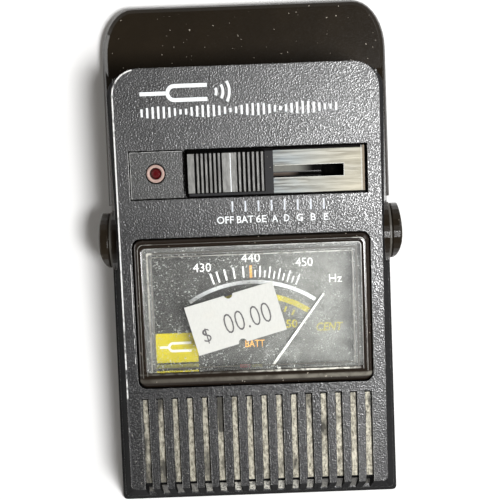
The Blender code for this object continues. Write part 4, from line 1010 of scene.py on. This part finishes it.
def groove_dust():
    """A bumpy bed of dust along each groove, and on each groove's sloping end a film of dust with painted
    light.
    """
    bm = bmesh.new()
    rows, across = 60, 7
    centres = [(g - (GROOVES - 1) / 2) * GROOVE_PITCH for g in range(GROOVES)]
    for g, cx in enumerate(centres):
        grid = []
        for j in range(rows + 1):
            y = GROOVE_Y[0] + (GROOVE_Y[1] - GROOVE_Y[0]) * j / rows
            line = []
            for i in range(across):
                s = i / (across - 1) * 2 - 1
                x = cx + s * DUST_HALF
                bump = noise.noise(Vector((x * 900, y * 420, g * 3.1)))
                z = GROOVE_FLOOR + (0.07 + 0.05 * bump) * MM * (1 - 0.85 * s ** 4)
                line.append(bm.verts.new((x, y, z)))
            grid.append(line)
        for j in range(rows):
            for i in range(across - 1):
                bm.faces.new((grid[j][i], grid[j][i + 1], grid[j + 1][i + 1], grid[j + 1][i]))
    piece("groove_dust", bm, DUST)
    ends = bmesh.new()
    shell = NODES["front_shell"].data.vertices
    for cx in centres:
        near = [v.co for v in shell if abs(v.co.x - cx) < END_REACH
                and v.co.y < END_Y and END_LOW < v.co.z < END_HIGH]
        foot = min(near, key=lambda p: p.z)
        heel = max((p for p in near if p.z > END_HEEL), key=lambda p: p.y)
        low, high = foot.lerp(heel, 0.15) + DUST_LIFT, foot.lerp(heel, 0.85) + DUST_LIFT
        corners = ((low, -1), (low, 1), (high, 1), (high, -1))
        ends.faces.new([ends.verts.new((cx + s * 0.74 * MM, p.y, p.z)) for p, s in corners])
    piece("groove_ends_dust_and_light", ends, END_DUST_LIGHT, place=None)


# ---- switch details ----
INDEX_X = 9.95 * MM  # from the knob's left end
SLOT_MARGIN = (2.2 * MM, 2.4 * MM)  # from the switch body's sides to the slot's
SLOT_DEPTH = (-6.38 * MM, -6.2 * MM)
BAR_FROM_END = 4.95 * MM
SHADE_FROM_END = 4.9 * MM
# (x0, x1, y0, y1) of painted shade in the recess's gaps, in mm; the upper painted shadow narrows to the
# right
RECESS_GAP_SHADE = ((-14.4, -14.05, 15.2, 26.0), (-14.2, 27.3, 14.95, 15.25), (27.05, 27.4, 15.2, 25.9))
UPPER_SHADOW = ((-14.2, 25.35), (4.0, 25.5), (27.3, 25.85), (27.3, 26.2), (-14.2, 26.2))


def index_line():
    """White line across the knob's middle band."""
    x0, _, y0, y1, _, z1 = panel_box("slider_knob")
    x = x0 + INDEX_X
    line = (x - 0.1 * MM, x + 0.1 * MM, y0 + 0.25 * MM, y1 - 0.25 * MM, z1 - 0.05 * MM, z1 + 0.02 * MM)
    box_piece("knob_index_line", WHITE_INK, line, body="slider")


def slot_details():
    """What shows through the switch's slot, painted shade in it and in the recess's gaps, painted
    highlights on its cut edges, and a strip at the plate's end.
    """
    x0, x1, y0, y1, _, _ = panel_box("slide_switch_body")
    left, right = x0 + SLOT_MARGIN[0], x1 - SLOT_MARGIN[0]
    lower, upper = y0 + SLOT_MARGIN[1], y1 - SLOT_MARGIN[1]
    middle = (lower + upper) / 2
    along = (left, right - BAR_FROM_END)
    box_piece("slot_bar", SLOT_BAR, (*along, middle - 0.35 * MM, middle + 1.35 * MM, *SLOT_DEPTH))
    box_piece("slot_strip", SLOT_STRIP, (*along, middle - 1.35 * MM, middle - 0.6 * MM, *SLOT_DEPTH))
    _, plate_x1, plate_y0, plate_y1, _, top = panel_box("switch_cover_plate")
    layer = (top + 0.01 * MM, top + 0.04 * MM)
    # Painted shade: black sheets over the slot's far end and the recess's gaps.
    shade_sheet = bmesh.new()
    box(shade_sheet, right - SHADE_FROM_END, right + 1.0 * MM, lower - 1.2 * MM, upper + 1.2 * MM, *SLOT_DEPTH)
    flat_boxes(shade_sheet, RECESS_GAP_SHADE, *layer)
    prism(shade_sheet, [(x * MM, y * MM) for x, y in UPPER_SHADOW], *layer)
    piece("slot_shade", shade_sheet, SHADE_BLACK)
    start, w, layer = 6.2 * MM, 0.14 * MM, (top - 0.05 * MM, top + 0.03 * MM)
    plate_ends = (plate_y0 + 0.2 * MM, plate_y1 - 0.2 * MM)
    # Painted highlights along the slot's cut edges and near the plate's right end.
    box_piece("slot_edge", RIM_LIGHT,
              (start, right + w, upper, upper + w, *layer), (start, right + w, lower - w, lower, *layer),
              (right, right + w, lower, upper, *layer),
              (plate_x1 - 1.1 * MM, plate_x1 - 0.95 * MM, *plate_ends, *layer))
    # A brownish strip along the plate's right end.
    box_piece("plate_end_strip", PLATE_END_STRIP, (plate_x1 - 0.75 * MM, plate_x1 - 0.15 * MM, *plate_ends, *layer))


# ---- stage ----
FLOOR_HALF, FLOOR_DROP = 1.2, -0.2 * MM
# World light: strength by height, times more at the far left, and warmer upwards.
SKY_HEIGHT = (("From Min", 0.35), ("From Max", 0.85), ("To Min", 0.4), ("To Max", 0.062))
SKY_LEFT = (("From Min", -0.9), ("From Max", -0.35), ("To Min", 1.3), ("To Max", 1.0))
SKY_LOW, SKY_HIGH = (1.0, 1.0, 1.0, 1.0), (1.0, 0.9, 0.76, 1.0)
# (name, place, what it points at, width, depth, power)
LIGHTS = (("key", (0.205, -0.07, 0.6), (0.0, 0.0, 0.0), 0.16, 0.16, 4.35),
          ("side", (0.6, 0.3, 0.55), (0.0, 0.0, 0.0), 0.4, 0.4, 0.9),
          ("left_window", (-0.6, 0.05, 0.1), (0.0, 0.0, 0.01), 0.5, 0.14, 0.8))
CAMERA_LENS, CAMERA_SENSOR = 85.56, 36.0  # in mm
CAMERA_PLACE = (-0.00025, 0.021687, 0.29927)
CAMERA_PITCH, CAMERA_ROLL = radians(-4.0), radians(-2.15)


def area(name, location, target, width, depth, power):
    light = bpy.data.lights.new(name, "AREA")
    light.energy = power
    light.shape = "RECTANGLE"
    light.size = width
    light.size_y = depth
    obj = bpy.data.objects.new(name, light)
    obj.location = location
    obj.rotation_euler = (Vector(target) - Vector(location)).to_track_quat("-Z", "Y").to_euler()
    bpy.context.scene.collection.objects.link(obj)


def floor():
    half = FLOOR_HALF
    bm = bmesh.new()
    bm.faces.new([bm.verts.new((x, y, FLOOR_DROP))
                  for x, y in ((-half, -half), (half, -half), (half, half), (-half, half))])
    mesh = bpy.data.meshes.new("floor")
    bm.to_mesh(mesh)
    bm.free()
    obj = bpy.data.objects.new("floor", mesh)
    mesh.materials.append(Finish("floor_white", (0.93, 0.93, 0.93), 0.9).mat)
    bpy.context.scene.collection.objects.link(obj)


def sky():
    world = bpy.data.worlds.new("studio")
    bpy.context.scene.world = world
    world.use_nodes = True
    tree = world.node_tree
    nodes, link = tree.nodes, tree.links.new
    back = nodes["Background"]
    parts = nodes.new("ShaderNodeSeparateXYZ")
    link(nodes.new("ShaderNodeTexCoord").outputs["Generated"], parts.inputs[0])
    total = nodes.new("ShaderNodeMath")
    total.operation = "MULTIPLY"
    for i, (axis, settings) in enumerate(((2, SKY_HEIGHT), (0, SKY_LEFT))):
        ramp = nodes.new("ShaderNodeMapRange")
        link(parts.outputs[axis], ramp.inputs["Value"])
        for key, value in settings:
            ramp.inputs[key].default_value = value
        link(ramp.outputs["Result"], total.inputs[i])
    link(total.outputs["Value"], back.inputs["Strength"])
    tint = nodes.new("ShaderNodeMix")
    tint.data_type = "RGBA"
    link(parts.outputs[2], tint.inputs["Factor"])
    tint.inputs[6].default_value = SKY_LOW
    tint.inputs[7].default_value = SKY_HIGH
    link(tint.outputs[2], back.inputs["Color"])


def stage():
    """Pale floor, soft studio light."""
    floor()
    sky()
    for light in LIGHTS:
        area(*light)
    bpy.context.scene.view_settings.view_transform = "Standard"


def camera():
    data = bpy.data.cameras.new("camera")
    data.lens = CAMERA_LENS
    data.sensor_width = CAMERA_SENSOR
    data.clip_start = 0.01
    data.clip_end = 10.0
    obj = bpy.data.objects.new("camera", data)
    bpy.context.scene.collection.objects.link(obj)
    obj.matrix_world = (Matrix.Translation(CAMERA_PLACE) @ Matrix.Rotation(CAMERA_PITCH, 4, "X")
                        @ Matrix.Rotation(CAMERA_ROLL, 4, "Z"))
    bpy.context.scene.camera = obj


def main():
    dress_cad_nodes()
    panel_print()
    edge_highlights_and_shade()
    heading_print()
    dial_print()
    dial_emblem()
    meter_window()
    price_label()
    groove_dust()
    index_line()
    slot_details()
    stage()
    camera()


main()
